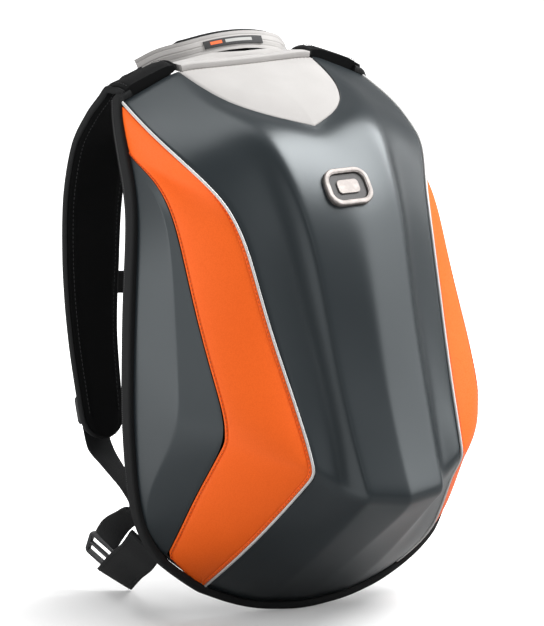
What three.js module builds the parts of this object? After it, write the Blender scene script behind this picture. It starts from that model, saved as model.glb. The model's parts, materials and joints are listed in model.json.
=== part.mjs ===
// A hard shell backpack, standing on its foot and leaning a little on its shoulder straps.
// The moulded front, the two fabric stripes and the two moulded sides are thin walls cut from one outer form.
// They meet a padded back panel at a bound seam. Millimetres, +Z up, the shell's front faces -Y.
import * as THREE from "three";

// Overall sizes of the pack's body
const WIDTH = 336; // across the back seam at its widest
const HEIGHT = 478; // from the foot of the seam to the shell's top edge
const DEPTH = 185; // from the back seam forward to the end of the ridge
const SWEEP = 94; // how far the top edge leans back, behind the foot

// Walls, gaps and trims
const SHELL_WALL = 3;
const FABRIC_WALL = 2.2;
const CLEARANCE = 0.4; // between two pieces that touch on the real pack
const PIPING_RADIUS = 1.8;
const BINDING_WIDTH = 12; // fore and aft, over the seam
const BINDING_OUT = 4; // how far the binding stands outside the seam line
const BINDING_IN = 3;

// The pale top panel, the trim along its upper edge, and the handle
const NOTCH_WIDTH = 144; // the top panel's width at the shell's top edge
const POINT_RISE = 0.912; // the height of the top panel's point, as a share of HEIGHT
const TRIM_OUT = 3.2;
const TRIM_SLOPE = 3; // how far back its front edge is cut away
const TRIM_LIP = 1.5; // how far its front edge stands out there
const HANDLE_HALF = 80; // the handle's ends lie this far from the middle
const HANDLE_WIDTH = 17;
const HANDLE_THICK = 3.4;
const BACKING_THICK = 5;
const BACKING_LIFT = 3.5;
const LABEL_LENGTH = 60;
const LABEL_WIDTH = 10.5;
const LABEL_THICK = 0.8;

// The metal badge
const BADGE_WIDTH = 48;
const BADGE_HEIGHT = 36.5;
const BADGE_CORNER = 13.5;
const BADGE_RISE = 0.806; // the height of the badge's middle, as a share of HEIGHT
const BADGE_RIM = 6;
const BADGE_RIM_THICK = 3.4;
const BADGE_PLATE_THICK = 2;

// The back panel and the zip around it
const PANEL_INSIDE = 4.1; // how far the panel's edge lies inside the seam line
const PANEL_FRONT = 3;
const PAD_THICK = 14;
const ZIP_WIDTH = 8;
const ZIP_OUT = 1.6; // its faces lie this far outside and inside the seam line
const ZIP_IN = 1.4;

// Shoulder straps
const STRAP_REACH = 176; // how far behind the foot the shoulder straps reach
const STRAP_WIDTH = 60;
const STRAP_THICK = 12;
const WEBBING_WIDTH = 25;
const WEBBING_THICK = 2;
const ANCHOR_WIDTH = 36;
const ANCHOR_THICK = 2.6;
const STERNUM_WIDTH = 20;
const CLIP_WIDTH = 46;
const CLIP_HEIGHT = 26;
const CLIP_THICK = 9;
const LOCK_LENGTH = 25;
const LOCK_WIDTH = 33;
const LOCK_THICK = 5;
const LOCK_BAR = 4;

// How finely the faceted walls are drawn
const DOWN_STEPS = 30;
const SHELL_STEPS = 11;
const SIDE_STEPS = 5;

const HALF = WIDTH / 2;
const v3 = (x, y, z) => new THREE.Vector3(x, y, z);

// The seam leans back towards the wearer: the share of SWEEP at each share of HEIGHT.
const BACK_CURVE = [
  // [rise, lean]
  [0.0, 0.0],
  [0.11, 0.04],
  [0.21, 0.15],
  [0.39, 0.23],
  [0.54, 0.27],
  [0.68, 0.38],
  [0.745, 0.46],
  [0.79, 0.57],
  [0.85, 0.77],
  [0.91, 0.93],
  [0.955, 1.0],
  [1.05, 1.03],
];

function leanAt(rise) {
  const last = BACK_CURVE.length - 1;
  const i = Math.min(Math.max(BACK_CURVE.findIndex(([r]) => r > rise), 1), last);
  const [r0, l0] = BACK_CURVE[i - 1];
  const [r1, l1] = BACK_CURVE[i];
  return l0 + ((l1 - l0) * (rise - r0)) / (r1 - r0);
}

// A point of the left half from its shares: rise of HEIGHT, out of the half width, fore of DEPTH.
function place([rise, out, fore]) {
  return v3(-out * HALF, leanAt(rise) * SWEEP - fore * DEPTH, rise * HEIGHT);
}

// Rails that run down the left half of the form, from the top edge to the foot, station by station.
// Every rail has the same sixteen stations, and each row is [rise, out, fore].
const PIPING_RAIL = [
  [0.95, 0.77, 0.0],
  [0.916, 0.803, 0.2],
  [0.879, 0.78, 0.344],
  [0.85, 0.752, 0.445],
  [0.814, 0.688, 0.487],
  [0.78, 0.637, 0.508],
  [0.738, 0.606, 0.524],
  [0.69, 0.585, 0.551],
  [0.569, 0.555, 0.611],
  [0.46, 0.513, 0.708],
  [0.366, 0.485, 0.8],
  [0.305, 0.474, 0.842],
  [0.252, 0.5, 0.69],
  [0.176, 0.577, 0.486],
  [0.113, 0.628, 0.265],
  [0.052, 0.619, 0.0],
];
const VALLEY_RAIL = [
  [0.977, 0.595, 0.022],
  [0.946, 0.613, 0.205],
  [0.921, 0.595, 0.378],
  [0.9, 0.554, 0.514],
  [0.872, 0.476, 0.605],
  [0.822, 0.417, 0.618],
  [0.766, 0.393, 0.614],
  [0.695, 0.363, 0.628],
  [0.554, 0.339, 0.68],
  [0.444, 0.327, 0.76],
  [0.347, 0.318, 0.82],
  [0.27, 0.315, 0.855],
  [0.229, 0.327, 0.76],
  [0.151, 0.393, 0.514],
  [0.079, 0.423, 0.259],
  [0.024, 0.429, 0.0],
];
const RIDGE_RAIL = [
  [1.0, 0.423, 0.038],
  [0.975, 0.435, 0.232],
  [0.952, 0.423, 0.4],
  [0.929, 0.393, 0.557],
  [0.902, 0.345, 0.676],
  [0.845, 0.325, 0.712],
  [0.778, 0.31, 0.708],
  [0.695, 0.29, 0.722],
  [0.548, 0.271, 0.762],
  [0.435, 0.262, 0.838],
  [0.339, 0.25, 0.912],
  [0.258, 0.241, 0.985],
  [0.222, 0.238, 0.86],
  [0.126, 0.25, 0.497],
  [0.063, 0.262, 0.254],
  [0.01, 0.268, 0.0],
];
const CENTRE_RAIL = [
  [0.998, 0.0, 0.043],
  [0.979, 0.0, 0.238],
  [0.96, 0.0, 0.384],
  [0.941, 0.0, 0.508],
  [0.914, 0.0, 0.611],
  [0.856, 0.0, 0.697],
  [0.787, 0.0, 0.73],
  [0.695, 0.0, 0.762],
  [0.544, 0.0, 0.8],
  [0.431, 0.0, 0.865],
  [0.335, 0.0, 0.941],
  [0.25, 0.0, 1.025],
  [0.21, 0.0, 0.9],
  [0.113, 0.0, 0.465],
  [0.056, 0.0, 0.243],
  [0.0, 0.0, 0.0],
];
const STRIPE_RAIL = [
  [0.95, 0.77, 0.0],
  [0.929, 0.783, 0.0],
  [0.906, 0.792, 0.0],
  [0.881, 0.804, 0.0],
  [0.854, 0.815, 0.011],
  [0.824, 0.821, 0.178],
  [0.787, 0.827, 0.249],
  [0.732, 0.833, 0.292],
  [0.603, 0.833, 0.357],
  [0.502, 0.833, 0.454],
  [0.412, 0.819, 0.55],
  [0.36, 0.813, 0.545],
  [0.299, 0.827, 0.416],
  [0.226, 0.851, 0.27],
  [0.167, 0.857, 0.146],
  [0.111, 0.857, 0.0],
];
const CREASE_RAIL = [
  [0.95, 0.77, 0.0],
  [0.929, 0.783, 0.0],
  [0.906, 0.792, 0.0],
  [0.881, 0.804, 0.0],
  [0.854, 0.815, 0.006],
  [0.826, 0.824, 0.086],
  [0.789, 0.839, 0.195],
  [0.732, 0.86, 0.262],
  [0.603, 0.912, 0.31],
  [0.502, 0.938, 0.335],
  [0.412, 0.946, 0.351],
  [0.356, 0.953, 0.297],
  [0.297, 0.971, 0.189],
  [0.224, 0.985, 0.06],
  [0.159, 0.955, 0.02],
  [0.111, 0.857, 0.0],
];
const SEAM_RAIL = [
  [0.95, 0.77, 0.0],
  [0.929, 0.783, 0.0],
  [0.906, 0.792, 0.0],
  [0.881, 0.804, 0.0],
  [0.854, 0.815, 0.0],
  [0.831, 0.827, 0.0],
  [0.791, 0.851, 0.0],
  [0.732, 0.887, 0.0],
  [0.603, 0.961, 0.0],
  [0.502, 0.991, 0.0],
  [0.408, 1.003, 0.0],
  [0.351, 1.006, 0.0],
  [0.293, 1.003, 0.0],
  [0.222, 0.994, 0.0],
  [0.155, 0.964, 0.0],
  [0.111, 0.857, 0.0],
];

// Weights of the control points at t, from 0 to 1, on an even cubic B-spline with clamped ends.
function splineWeights(count, t) {
  const spans = count - 3;
  const at = Math.min(Math.max(t, 0), 1 - 1e-9) * spans;
  const knot = (i) => Math.min(Math.max(i - 3, 0), spans);
  const w = Array.from({ length: count + 3 }, (_, i) => (knot(i) <= at && at < knot(i + 1) ? 1 : 0));
  for (let degree = 1; degree <= 3; degree++) {
    for (let i = 0; i < count + 3 - degree; i++) {
      const rising = knot(i + degree) - knot(i);
      const falling = knot(i + degree + 1) - knot(i + 1);
      const up = rising ? ((at - knot(i)) / rising) * w[i] : 0;
      const down = falling ? ((knot(i + degree + 1) - at) / falling) * w[i + 1] : 0;
      w[i] = up + down;
    }
  }
  return w.slice(0, count);
}

function weighted(points, weights) {
  return points.reduce((sum, p, i) => sum.addScaledVector(p, weights[i]), v3(0, 0, 0));
}

// A surface from rails: at(down, across) is its point, and out(down, across) its outward normal.
function surfaceOf(rails) {
  const at = (down, across) => {
    const wd = splineWeights(rails[0].length, down);
    const wa = splineWeights(rails.length, across);
    return weighted(rails.map((rail) => weighted(rail, wd)), wa);
  };
  const step = 1e-4;
  const between = (lo, hi) => [Math.max(lo, 0), Math.min(hi, 1)];
  const out = (down, across) => {
    const [d0, d1] = between(down - step, down + step);
    const [a0, a1] = between(across - step, across + step);
    const along = at(d1, across).sub(at(d0, across));
    const over = at(down, a1).sub(at(down, a0));
    return along.cross(over).normalize();
  };
  return { at, out };
}

const mix = (a, b, t) => a.clone().lerp(b, t);
const mirrored = (p) => v3(-p.x, p.y, p.z);
const railPoints = (table) => table.map(place);
const railBetween = (a, b, t, push) => a.map((p, i) => mix(p, b[i], t).add(push ?? v3(0, 0, 0)));

// The moulded front: piping, flank, valley, ridge and centre, then the same mirrored.
const FLANK_BULGE = 2;
const pipingRail = railPoints(PIPING_RAIL);
const valleyRail = railPoints(VALLEY_RAIL);
const ridgeRail = railPoints(RIDGE_RAIL);
const centreRail = railPoints(CENTRE_RAIL);
const halfFront = [
  pipingRail,
  railBetween(pipingRail, valleyRail, 0.5, v3(0, -FLANK_BULGE, 0)),
  valleyRail,
  ridgeRail,
  railBetween(ridgeRail, centreRail, 0.35),
];
const front = surfaceOf([
  ...halfFront,
  centreRail,
  ...[...halfFront].reverse().map((rail) => rail.map(mirrored)),
]);

// The stripe's cross curve swells a little between its two edges.
const STRIPE_SWELL = 5;
const stripeRail = railPoints(STRIPE_RAIL);
const seamRail = railPoints(SEAM_RAIL);
const creaseRail = railPoints(CREASE_RAIL);
const swell = v3(-STRIPE_SWELL * 0.75, -STRIPE_SWELL * 0.65, 0);
const stripeMid = (t) =>
  stripeRail.map((p, i) => {
    const wide = Math.min(p.distanceTo(pipingRail[i]) / (0.4 * HALF), 1);
    return mix(p, pipingRail[i], t).addScaledVector(swell, wide);
  });
const stripe = surfaceOf([stripeRail, stripeMid(0.33), stripeMid(0.67), pipingRail]);

// The moulded side is folded along its crease, with two close rails there to keep the fold tight.
const FOLD_SHARE = 0.12;
const side = surfaceOf([
  seamRail,
  railBetween(seamRail, creaseRail, 0.5),
  railBetween(creaseRail, seamRail, FOLD_SHARE),
  railBetween(creaseRail, stripeRail, FOLD_SHARE),
  railBetween(creaseRail, stripeRail, 0.6),
  stripeRail,
]);

// A solid from loose triangles, each three points. Points that coincide become one, and faces point out.
function solidFrom(triangles) {
  const keys = new Map();
  const coordinates = [];
  const index = [];
  const indexOf = (p) => {
    const key = [p.x, p.y, p.z].map((c) => Math.round(c * 2000)).join();
    if (!keys.has(key)) {
      keys.set(key, keys.size);
      coordinates.push(p.x, p.y, p.z);
    }
    return keys.get(key);
  };
  let volume = 0;
  for (const [a, b, c] of triangles) {
    const [i, j, k] = [indexOf(a), indexOf(b), indexOf(c)];
    if (i === j || j === k || i === k) continue;
    index.push(i, j, k);
    volume += a.dot(b.clone().cross(c));
  }
  if (volume < 0) index.reverse();
  const geometry = new THREE.BufferGeometry();
  geometry.setAttribute("position", new THREE.Float32BufferAttribute(coordinates, 3));
  geometry.setIndex(index);
  geometry.computeVertexNormals();
  return geometry;
}

// A wall of the given thickness behind patches of outer points. A patch is a grid of {p, n} rows.
function wallFrom(patches, thickness) {
  const key = (p) => [p.x, p.y, p.z].map((c) => Math.round(c * 2000)).join();
  const outer = [];
  for (const grid of patches) {
    for (let r = 0; r + 1 < grid.length; r++) {
      for (let c = 0; c + 1 < grid[r].length; c++) {
        const [a, b, d, e] = [grid[r][c], grid[r][c + 1], grid[r + 1][c], grid[r + 1][c + 1]];
        outer.push([a, d, b], [b, d, e]);
      }
    }
  }
  const faces = outer.filter(([a, b, c]) => new Set([key(a.p), key(b.p), key(c.p)]).size === 3);
  const inner = ({ p, n }) => p.clone().addScaledVector(n, -thickness);
  const used = new Set(faces.flatMap((f) => f.map((a, i) => key(a.p) + ">" + key(f[(i + 1) % 3].p))));
  const triangles = [];
  for (const f of faces) {
    triangles.push(f.map(({ p }) => p));
    triangles.push([inner(f[0]), inner(f[2]), inner(f[1])]);
    f.forEach((a, i) => {
      const b = f[(i + 1) % 3];
      if (used.has(key(b.p) + ">" + key(a.p))) return;
      triangles.push([a.p, inner(a), inner(b)], [a.p, inner(b), b.p]);
    });
  }
  return solidFrom(triangles);
}

// A solid through rings of points, capped at its ends, or joined end to end when closed.
function skinOf(rings, closed = false) {
  const triangles = [];
  const count = rings[0].length;
  const pairs = closed ? rings.length : rings.length - 1;
  for (let r = 0; r < pairs; r++) {
    const [here, next] = [rings[r], rings[(r + 1) % rings.length]];
    for (let c = 0; c < count; c++) {
      const d = (c + 1) % count;
      triangles.push([here[c], next[c], here[d]], [here[d], next[c], next[d]]);
    }
  }
  if (!closed) {
    const [first, last] = [rings[0], rings[rings.length - 1]];
    for (let c = 1; c + 1 < count; c++) {
      triangles.push([first[0], first[c], first[c + 1]]);
      triangles.push([last[0], last[c + 1], last[c]]);
    }
  }
  return solidFrom(triangles);
}

const spread = (count) => Array.from({ length: count + 1 }, (_, i) => i / count);
const lerp = (a, b, t) => a + (b - a) * t;

// The seam's line once round, from the top centre down the left side, along the foot and up the right.
function seamLoop() {
  const top = spread(9).map((t) => front.at(0, lerp(0.5, 0, t)));
  const left = spread(22).map((t) => side.at(t, 0));
  const foot = [
    ...spread(4).map((t) => stripe.at(1, t)),
    ...spread(8).map((t) => front.at(1, lerp(0, 0.5, t))),
  ];
  const half = [...top, ...left.slice(1), ...foot.slice(1)];
  const flat = half.filter((p, i) => i === 0 || p.distanceTo(half[i - 1]) > 1);
  return [...flat, ...flat.slice(1, -1).reverse().map(mirrored)];
}

const loop = seamLoop();

// The share across a row at which its point first lies a gap away from the edge, square to that edge.
function inset(surface, down, edge, gap) {
  const step = 1e-3;
  const from = surface.at(down, edge);
  const along = surface.at(Math.min(down + step, 1), edge).sub(surface.at(Math.max(down - step, 0), edge));
  return firstFrom(edge, (across) => {
    const offset = surface.at(down, across).sub(from);
    return offset.addScaledVector(along, -offset.dot(along) / along.lengthSq()).length() < gap;
  });
}
function firstFrom(edge, tooNear) {
  let [near, far] = [edge, edge < 0.5 ? 1 : 0];
  for (let i = 0; i < 24; i++) {
    const middle = (near + far) / 2;
    if (tooNear(middle)) near = middle;
    else far = middle;
  }
  return far;
}

// The same, but clear of the whole seam line.
const segments = loop.map((p, i) => new THREE.Line3(p, loop[(i + 1) % loop.length]));
const nearest = v3(0, 0, 0);
const fromSeam = (p) =>
  Math.min(...segments.map((line) => line.closestPointToPoint(p, true, nearest).distanceTo(p)));
const insetFromSeam = (surface, down, gap) =>
  firstFrom(0, (across) => fromSeam(surface.at(down, across)) < gap);

// How far down the front's middle line a height lies.
function downAtRise(rise) {
  let [high, low] = [0, 0.9];
  for (let i = 0; i < 30; i++) {
    const middle = (high + low) / 2;
    if (front.at(middle, 0.5).z > rise * HEIGHT) high = middle;
    else low = middle;
  }
  return low;
}
const NOTCH_END = downAtRise(POINT_RISE);
const BADGE_AT = downAtRise(BADGE_RISE);

// How wide the top panel is at each share of its way down, and where that lies across the front.
function notchHalf(down) {
  const s = Math.min(down / NOTCH_END, 1);
  return (NOTCH_WIDTH / 2) * Math.pow(Math.max(1 - Math.pow(s, 1.45), 0), 0.8);
}
function acrossFrontAt(down, x) {
  let [low, high] = [0, 0.5];
  for (let i = 0; i < 30; i++) {
    const middle = (low + high) / 2;
    if (front.at(down, middle).x < -Math.abs(x)) low = middle;
    else high = middle;
  }
  return x > 0 ? 1 - low : low;
}

const EDGE_GAP = PIPING_RADIUS + CLEARANCE;
const SEAM_GAP = BINDING_WIDTH / 2 + 1.6 * CLEARANCE;
const sample = (surface, down, across, lift = 0) => {
  const n = surface.out(down, across);
  return { p: surface.at(down, across).addScaledVector(n, lift), n };
};

// Stations down the front as shares of the way between its two ends, one of them at the top panel's point.
const UPPER = Math.round(DOWN_STEPS * 0.3);
const upperStations = spread(UPPER).map((t) => t * NOTCH_END);
const lowerStations = spread(DOWN_STEPS - UPPER).slice(1).map((t) => lerp(NOTCH_END, 1, t));

// Each column of the front starts and ends a little clear of the seam, wherever that is on its way down.
const within = (down, across, gap) => fromSeam(front.at(down, across)) < gap;
const startOf = (across, gap = SEAM_GAP) => firstFrom(0, (down) => within(down, across, gap));
const endOf = (across, gap = SEAM_GAP) => firstFrom(1, (down) => within(down, across, gap));
function clearOfSeam(station, across) {
  const from = startOf(across);
  if (station <= NOTCH_END) return lerp(from, NOTCH_END, station / NOTCH_END);
  return lerp(NOTCH_END, endOf(across), (station - NOTCH_END) / (1 - NOTCH_END));
}

// Where two walls meet at a fold, both end in one plane, so that neither runs into the other behind it.
function foldTo(cell, other) {
  return { p: cell.p, n: cell.n.clone().add(other).normalize() };
}

// Along the seam a wall ends square to the binding's face.
function seamCut(cell) {
  return { p: cell.p, n: v3(cell.n.x, 0, cell.n.z).normalize() };
}

function shellFront() {
  const edge = (down) => inset(front, down, 0, EDGE_GAP);
  const innerEdge = (down) =>
    down >= NOTCH_END ? 0.5 : acrossFrontAt(down, -(notchHalf(down) + CLEARANCE));
  const half = (turn) =>
    [...upperStations, ...lowerStations].map((station) =>
      spread(SHELL_STEPS).map((t) => {
        const rough = lerp(edge(station), innerEdge(station), t);
        const down = clearOfSeam(station, rough);
        const across = lerp(edge(down), innerEdge(down), t);
        return sample(front, down, turn ? 1 - across : across);
      }),
    );
  const left = half(false);
  const right = half(true).map((row) => [...row].reverse());
  for (const grid of [left, right]) {
    for (const r of [0, grid.length - 1]) grid[r] = grid[r].map(seamCut);
  }
  return wallFrom([left, right], SHELL_WALL);
}

const PANEL_DROP = 0.8; // the top panel lies a little below the shell around it
function topPanel() {
  const grid = upperStations.slice(0, -1).map((station) =>
    spread(SHELL_STEPS - 3).map((t) => {
      const edge = (down) => acrossFrontAt(down, -Math.max(notchHalf(down) - CLEARANCE, 0.5));
      const rough = lerp(edge(station), 1 - edge(station), t);
      const down = clearOfSeam(station, rough);
      return sample(front, down, lerp(edge(down), 1 - edge(down), t), -PANEL_DROP);
    }),
  );
  grid[0] = grid[0].map(seamCut);
  return wallFrom([grid], FABRIC_WALL);
}

// The stripe starts where it is wide enough to hold a few millimetres of cloth.
const STRIPE_FROM = 0.09;
function stripeWall() {
  const to = endOf(0);
  const grid = spread(DOWN_STEPS - 4).map((t) => {
    const down = lerp(STRIPE_FROM, to, t);
    const [fold, clear] = [inset(stripe, down, 0, CLEARANCE), insetFromSeam(stripe, down, SEAM_GAP)];
    const onSeam = clear > fold;
    const [low, high] = [Math.max(fold, clear), inset(stripe, down, 1, EDGE_GAP)];
    const row = spread(SIDE_STEPS).map((s) => sample(stripe, down, lerp(low, high, s)));
    row[0] = onSeam ? seamCut(row[0]) : foldTo(row[0], side.out(down, 1));
    return row;
  });
  grid.push(grid.pop().map(seamCut));
  return wallFrom([grid], FABRIC_WALL);
}

// The moulded side fills the room between the seam and the stripe, as far as both its ends leave any.
const SIDE_MIDDLE = 0.7;
const sideRow = (down) => [insetFromSeam(side, down, SEAM_GAP), inset(side, down, 1, CLEARANCE)];
function sideEnd(end) {
  let [inside, outside] = [SIDE_MIDDLE, end];
  for (let i = 0; i < 20; i++) {
    const middle = (inside + outside) / 2;
    const [low, high] = sideRow(middle);
    if (high - low > 0.06) inside = middle;
    else outside = middle;
  }
  return inside;
}
function sideWall() {
  const [from, to] = [sideEnd(0.25), sideEnd(1)];
  const grid = spread(DOWN_STEPS - 8).map((t) => {
    const down = lerp(from, to, t);
    const [low, high] = sideRow(down);
    const row = spread(SIDE_STEPS + 3).map((s) => sample(side, down, lerp(low, high, s)));
    row[0] = seamCut(row[0]);
    row.push(foldTo(row.pop(), stripe.out(down, 0)));
    return row;
  });
  return wallFrom([grid], SHELL_WALL);
}

const BACKWARD = v3(0, 1, 0);
function loopFrame(i) {
  const along = loop[(i + 1) % loop.length].clone().sub(loop.at(i - 1)).normalize();
  const back = BACKWARD.clone().addScaledVector(along, -along.y).normalize();
  return { back, out: back.clone().cross(along).normalize() };
}

// A bar that follows the seam line between two places of the loop, from a section of [out, back].
function alongSeam(section, from, to) {
  const rings = [];
  for (let i = from; i <= to; i++) {
    const at = ((i % loop.length) + loop.length) % loop.length;
    const { out, back } = loopFrame(at);
    rings.push(section.map(([o, b]) => loop[at].clone().addScaledVector(out, o).addScaledVector(back, b)));
  }
  return rings;
}

// The pale trim closes the top edge as far as the strap roots, and the binding starts beyond them.
const ROOT_OUTER = 0.77; // share of the half width
const trimReach = loop.findIndex((p) => p.x < -NOTCH_WIDTH / 2 + 1);
const bindingReach = loop.findIndex((p) => p.x < -ROOT_OUTER * HALF - 1);
function binding() {
  const [w, chamfer] = [BINDING_WIDTH / 2, 1.6];
  const section = [
    // [out, back]
    [BINDING_OUT, -w + chamfer],
    [BINDING_OUT, w - chamfer],
    [BINDING_OUT - chamfer, w],
    [-BINDING_IN, w],
    [-BINDING_IN, -w],
    [BINDING_OUT - chamfer, -w],
  ];
  return skinOf(alongSeam(section, bindingReach, loop.length - bindingReach));
}

function topTrim() {
  const w = BINDING_WIDTH / 2;
  const section = [
    // [out, back]
    [TRIM_OUT, -w + TRIM_SLOPE],
    [TRIM_OUT, w],
    [-BINDING_IN, w],
    [-BINDING_IN, -w],
    [TRIM_LIP, -w],
  ];
  return skinOf(alongSeam(section, -trimReach + 1, trimReach - 1));
}

function zip() {
  const [near, far] = [BINDING_WIDTH / 2 + CLEARANCE, BINDING_WIDTH / 2 + CLEARANCE + ZIP_WIDTH];
  const section = [
    // [out, back]
    [ZIP_OUT, near],
    [ZIP_OUT, far],
    [-ZIP_IN, far],
    [-ZIP_IN, near],
  ];
  return skinOf(alongSeam(section, bindingReach, loop.length - bindingReach));
}

function piping() {
  const gap = SEAM_GAP + PIPING_RADIUS;
  const [from, to] = [startOf(0, gap), endOf(0, gap)];
  const stations = spread(DOWN_STEPS - 2).map((t) => lerp(from, to, t));
  const rings = stations.map((down) => {
    const n = front.out(down, 0).add(stripe.out(down, 1)).normalize();
    const along = front.at(Math.min(down + 1e-3, 1), 0).sub(front.at(down - 1e-3, 0)).normalize();
    const over = along.clone().cross(n).normalize();
    return spread(6).slice(1).map((t) => {
      const [c, d] = [Math.cos(t * 2 * Math.PI), Math.sin(t * 2 * Math.PI)];
      const centre = front.at(down, 0);
      return centre.addScaledVector(n, c * PIPING_RADIUS).addScaledVector(over, d * PIPING_RADIUS);
    });
  });
  return skinOf(rings);
}

// The padded back panel: its outline is the seam line, drawn in; each row is one ring of its skin.
function backPanel() {
  const half = Math.floor(loop.length / 2);
  const rings = [];
  for (let i = trimReach + 1; i < half - 1; i++) {
    const { out, back } = loopFrame(i);
    if (rings.length && i % 2 === 0) continue;
    const edge = loop[i].clone().addScaledVector(out, -PANEL_INSIDE);
    const thick = PAD_THICK * Math.min(1, 0.35 + Math.abs(edge.x) / HALF);
    const rows = [
      // [share of the half width, depth behind the seam]
      [1, -PANEL_FRONT],
      [1, 0.45 * thick],
      [0.85, 0.8 * thick],
      [0.5, thick],
      [0.16, 0.95 * thick],
    ];
    const side = rows.map(([s, d]) => v3(edge.x * s, edge.y + d, edge.z));
    const mid = v3(0, edge.y + 0.55 * thick, edge.z);
    rings.push([...side, mid, ...[...side].reverse().map(mirrored)]);
  }
  return skinOf(rings);
}

// A flat band along stations of {at, wide, width, thick}: chamfered where it is padded.
function bandOf(stations, steps, { chamfer = 0, offset = 0, lift = 0, from = 0, to = 1 } = {}) {
  const curve = new THREE.CatmullRomCurve3(stations.map(({ at }) => at), false, "centripetal");
  const between = (t, pick) => {
    const s = Math.min(t * (stations.length - 1), stations.length - 1 - 1e-9);
    const i = Math.floor(s);
    return pick(stations[i], stations[i + 1], s - i);
  };
  const rings = spread(steps).map((share) => {
    const t = lerp(from, to, share);
    const along = curve.getTangent(t);
    const width = between(t, (a, b, u) => lerp(a.width, b.width, u)) / 2;
    const thick = between(t, (a, b, u) => lerp(a.thick, b.thick, u)) / 2;
    const wide = between(t, (a, b, u) => mix(a.wide, b.wide, u));
    wide.addScaledVector(along, -wide.dot(along)).normalize();
    const face = wide.clone().cross(along).normalize();
    const c = chamfer * thick;
    const corners = chamfer
      ? [
          [width, thick - c], [width - c, thick], [c - width, thick], [-width, thick - c],
          [-width, c - thick], [c - width, -thick], [width - c, -thick], [width, c - thick],
        ]
      : [[width, thick], [-width, thick], [-width, -thick], [width, -thick]];
    return corners.map(([w, h]) =>
      curve.getPoint(t).addScaledVector(wide, w + lift).addScaledVector(face, h + offset),
    );
  });
  return skinOf(rings);
}

// Both shoulder straps' middle lines, from the top edge over the wearer's shoulder to the pad's end.
const STRAP_PATH = [
  // [rise of HEIGHT, out of half width, behind of reach, width, thickness, slope of the width]
  [0.98, 0.596, 0.5, 0.94, 0.9, 0.37],
  [0.983, 0.596, 0.568, 0.94, 0.9, 0.37],
  [0.975, 0.598, 0.64, 0.97, 0.95, 0.33],
  [0.953, 0.601, 0.69, 1, 1, 0.22],
  [0.912, 0.607, 0.783, 1, 1, 0.1],
  [0.847, 0.613, 0.898, 1, 1, 0],
  [0.747, 0.625, 0.965, 0.98, 1, 0],
  [0.611, 0.649, 0.955, 0.92, 1, 0],
  [0.492, 0.673, 0.909, 0.8, 1, 0],
  [0.377, 0.685, 0.835, 0.72, 1, 0],
  [0.297, 0.685, 0.784, 0.67, 0.9, 0],
];
function strapPad() {
  const stations = STRAP_PATH.map(([rise, out, behind, width, thick, slope]) => ({
    at: v3(-out * HALF, behind * STRAP_REACH, rise * HEIGHT),
    wide: v3(-1, 0, -slope).normalize(),
    width: width * STRAP_WIDTH,
    thick: thick * STRAP_THICK,
  }));
  return bandOf(stations, 26, { chamfer: 0.45 });
}

// The lower webbing leaves the pad's lock, swings in behind the side and comes back to the lower lock.
const WEBBING_PATH = [
  // [rise of HEIGHT, out of half width, behind of reach, width direction x, y, z]
  [0.312, 0.685, 0.872, -1, 0, 0],
  [0.276, 0.69, 0.815, -1, 0.1, 0],
  [0.247, 0.705, 0.68, -0.95, 0.1, 0.25],
  [0.213, 0.75, 0.455, -0.9, 0.0, 0.4],
  [0.19, 0.758, 0.37, -0.9, 0.0, 0.4],
  [0.168, 0.72, 0.5, -0.9, 0.1, 0.35],
  [0.13, 0.655, 0.73, -0.7, 0.45, 0.4],
  [0.0905, 0.599, 0.896, -0.35, 0.75, 0.5],
];
function lowerWebbing() {
  const stations = WEBBING_PATH.map(([rise, out, behind, x, y, z]) => ({
    at: v3(-out * HALF, behind * STRAP_REACH, rise * HEIGHT),
    wide: v3(x, y, z).normalize(),
    width: WEBBING_WIDTH,
    thick: WEBBING_THICK,
  }));
  return bandOf(stations, 24);
}

// The anchor is a wide band from the seam's lower corner back to the floor, where it carries the lock.
const ANCHOR_PATH = [
  // [rise of HEIGHT, out of half width, behind of reach, width direction x, y, z]
  [0.137, 0.878, 0.15, -0.55, 0.15, 0.8],
  [0.105, 0.82, 0.3, -0.6, 0.5, 0.65],
  [0.06, 0.67, 0.62, -0.55, 0.7, 0.5],
  [0.014, 0.523, 0.92, -0.5, 0.74, 0.38],
];
function anchor() {
  const stations = ANCHOR_PATH.map(([rise, out, behind, x, y, z]) => ({
    at: v3(-out * HALF, behind * STRAP_REACH, rise * HEIGHT),
    wide: v3(x, y, z).normalize(),
    width: ANCHOR_WIDTH,
    thick: ANCHOR_THICK,
  }));
  return bandOf(stations, 12);
}

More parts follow.
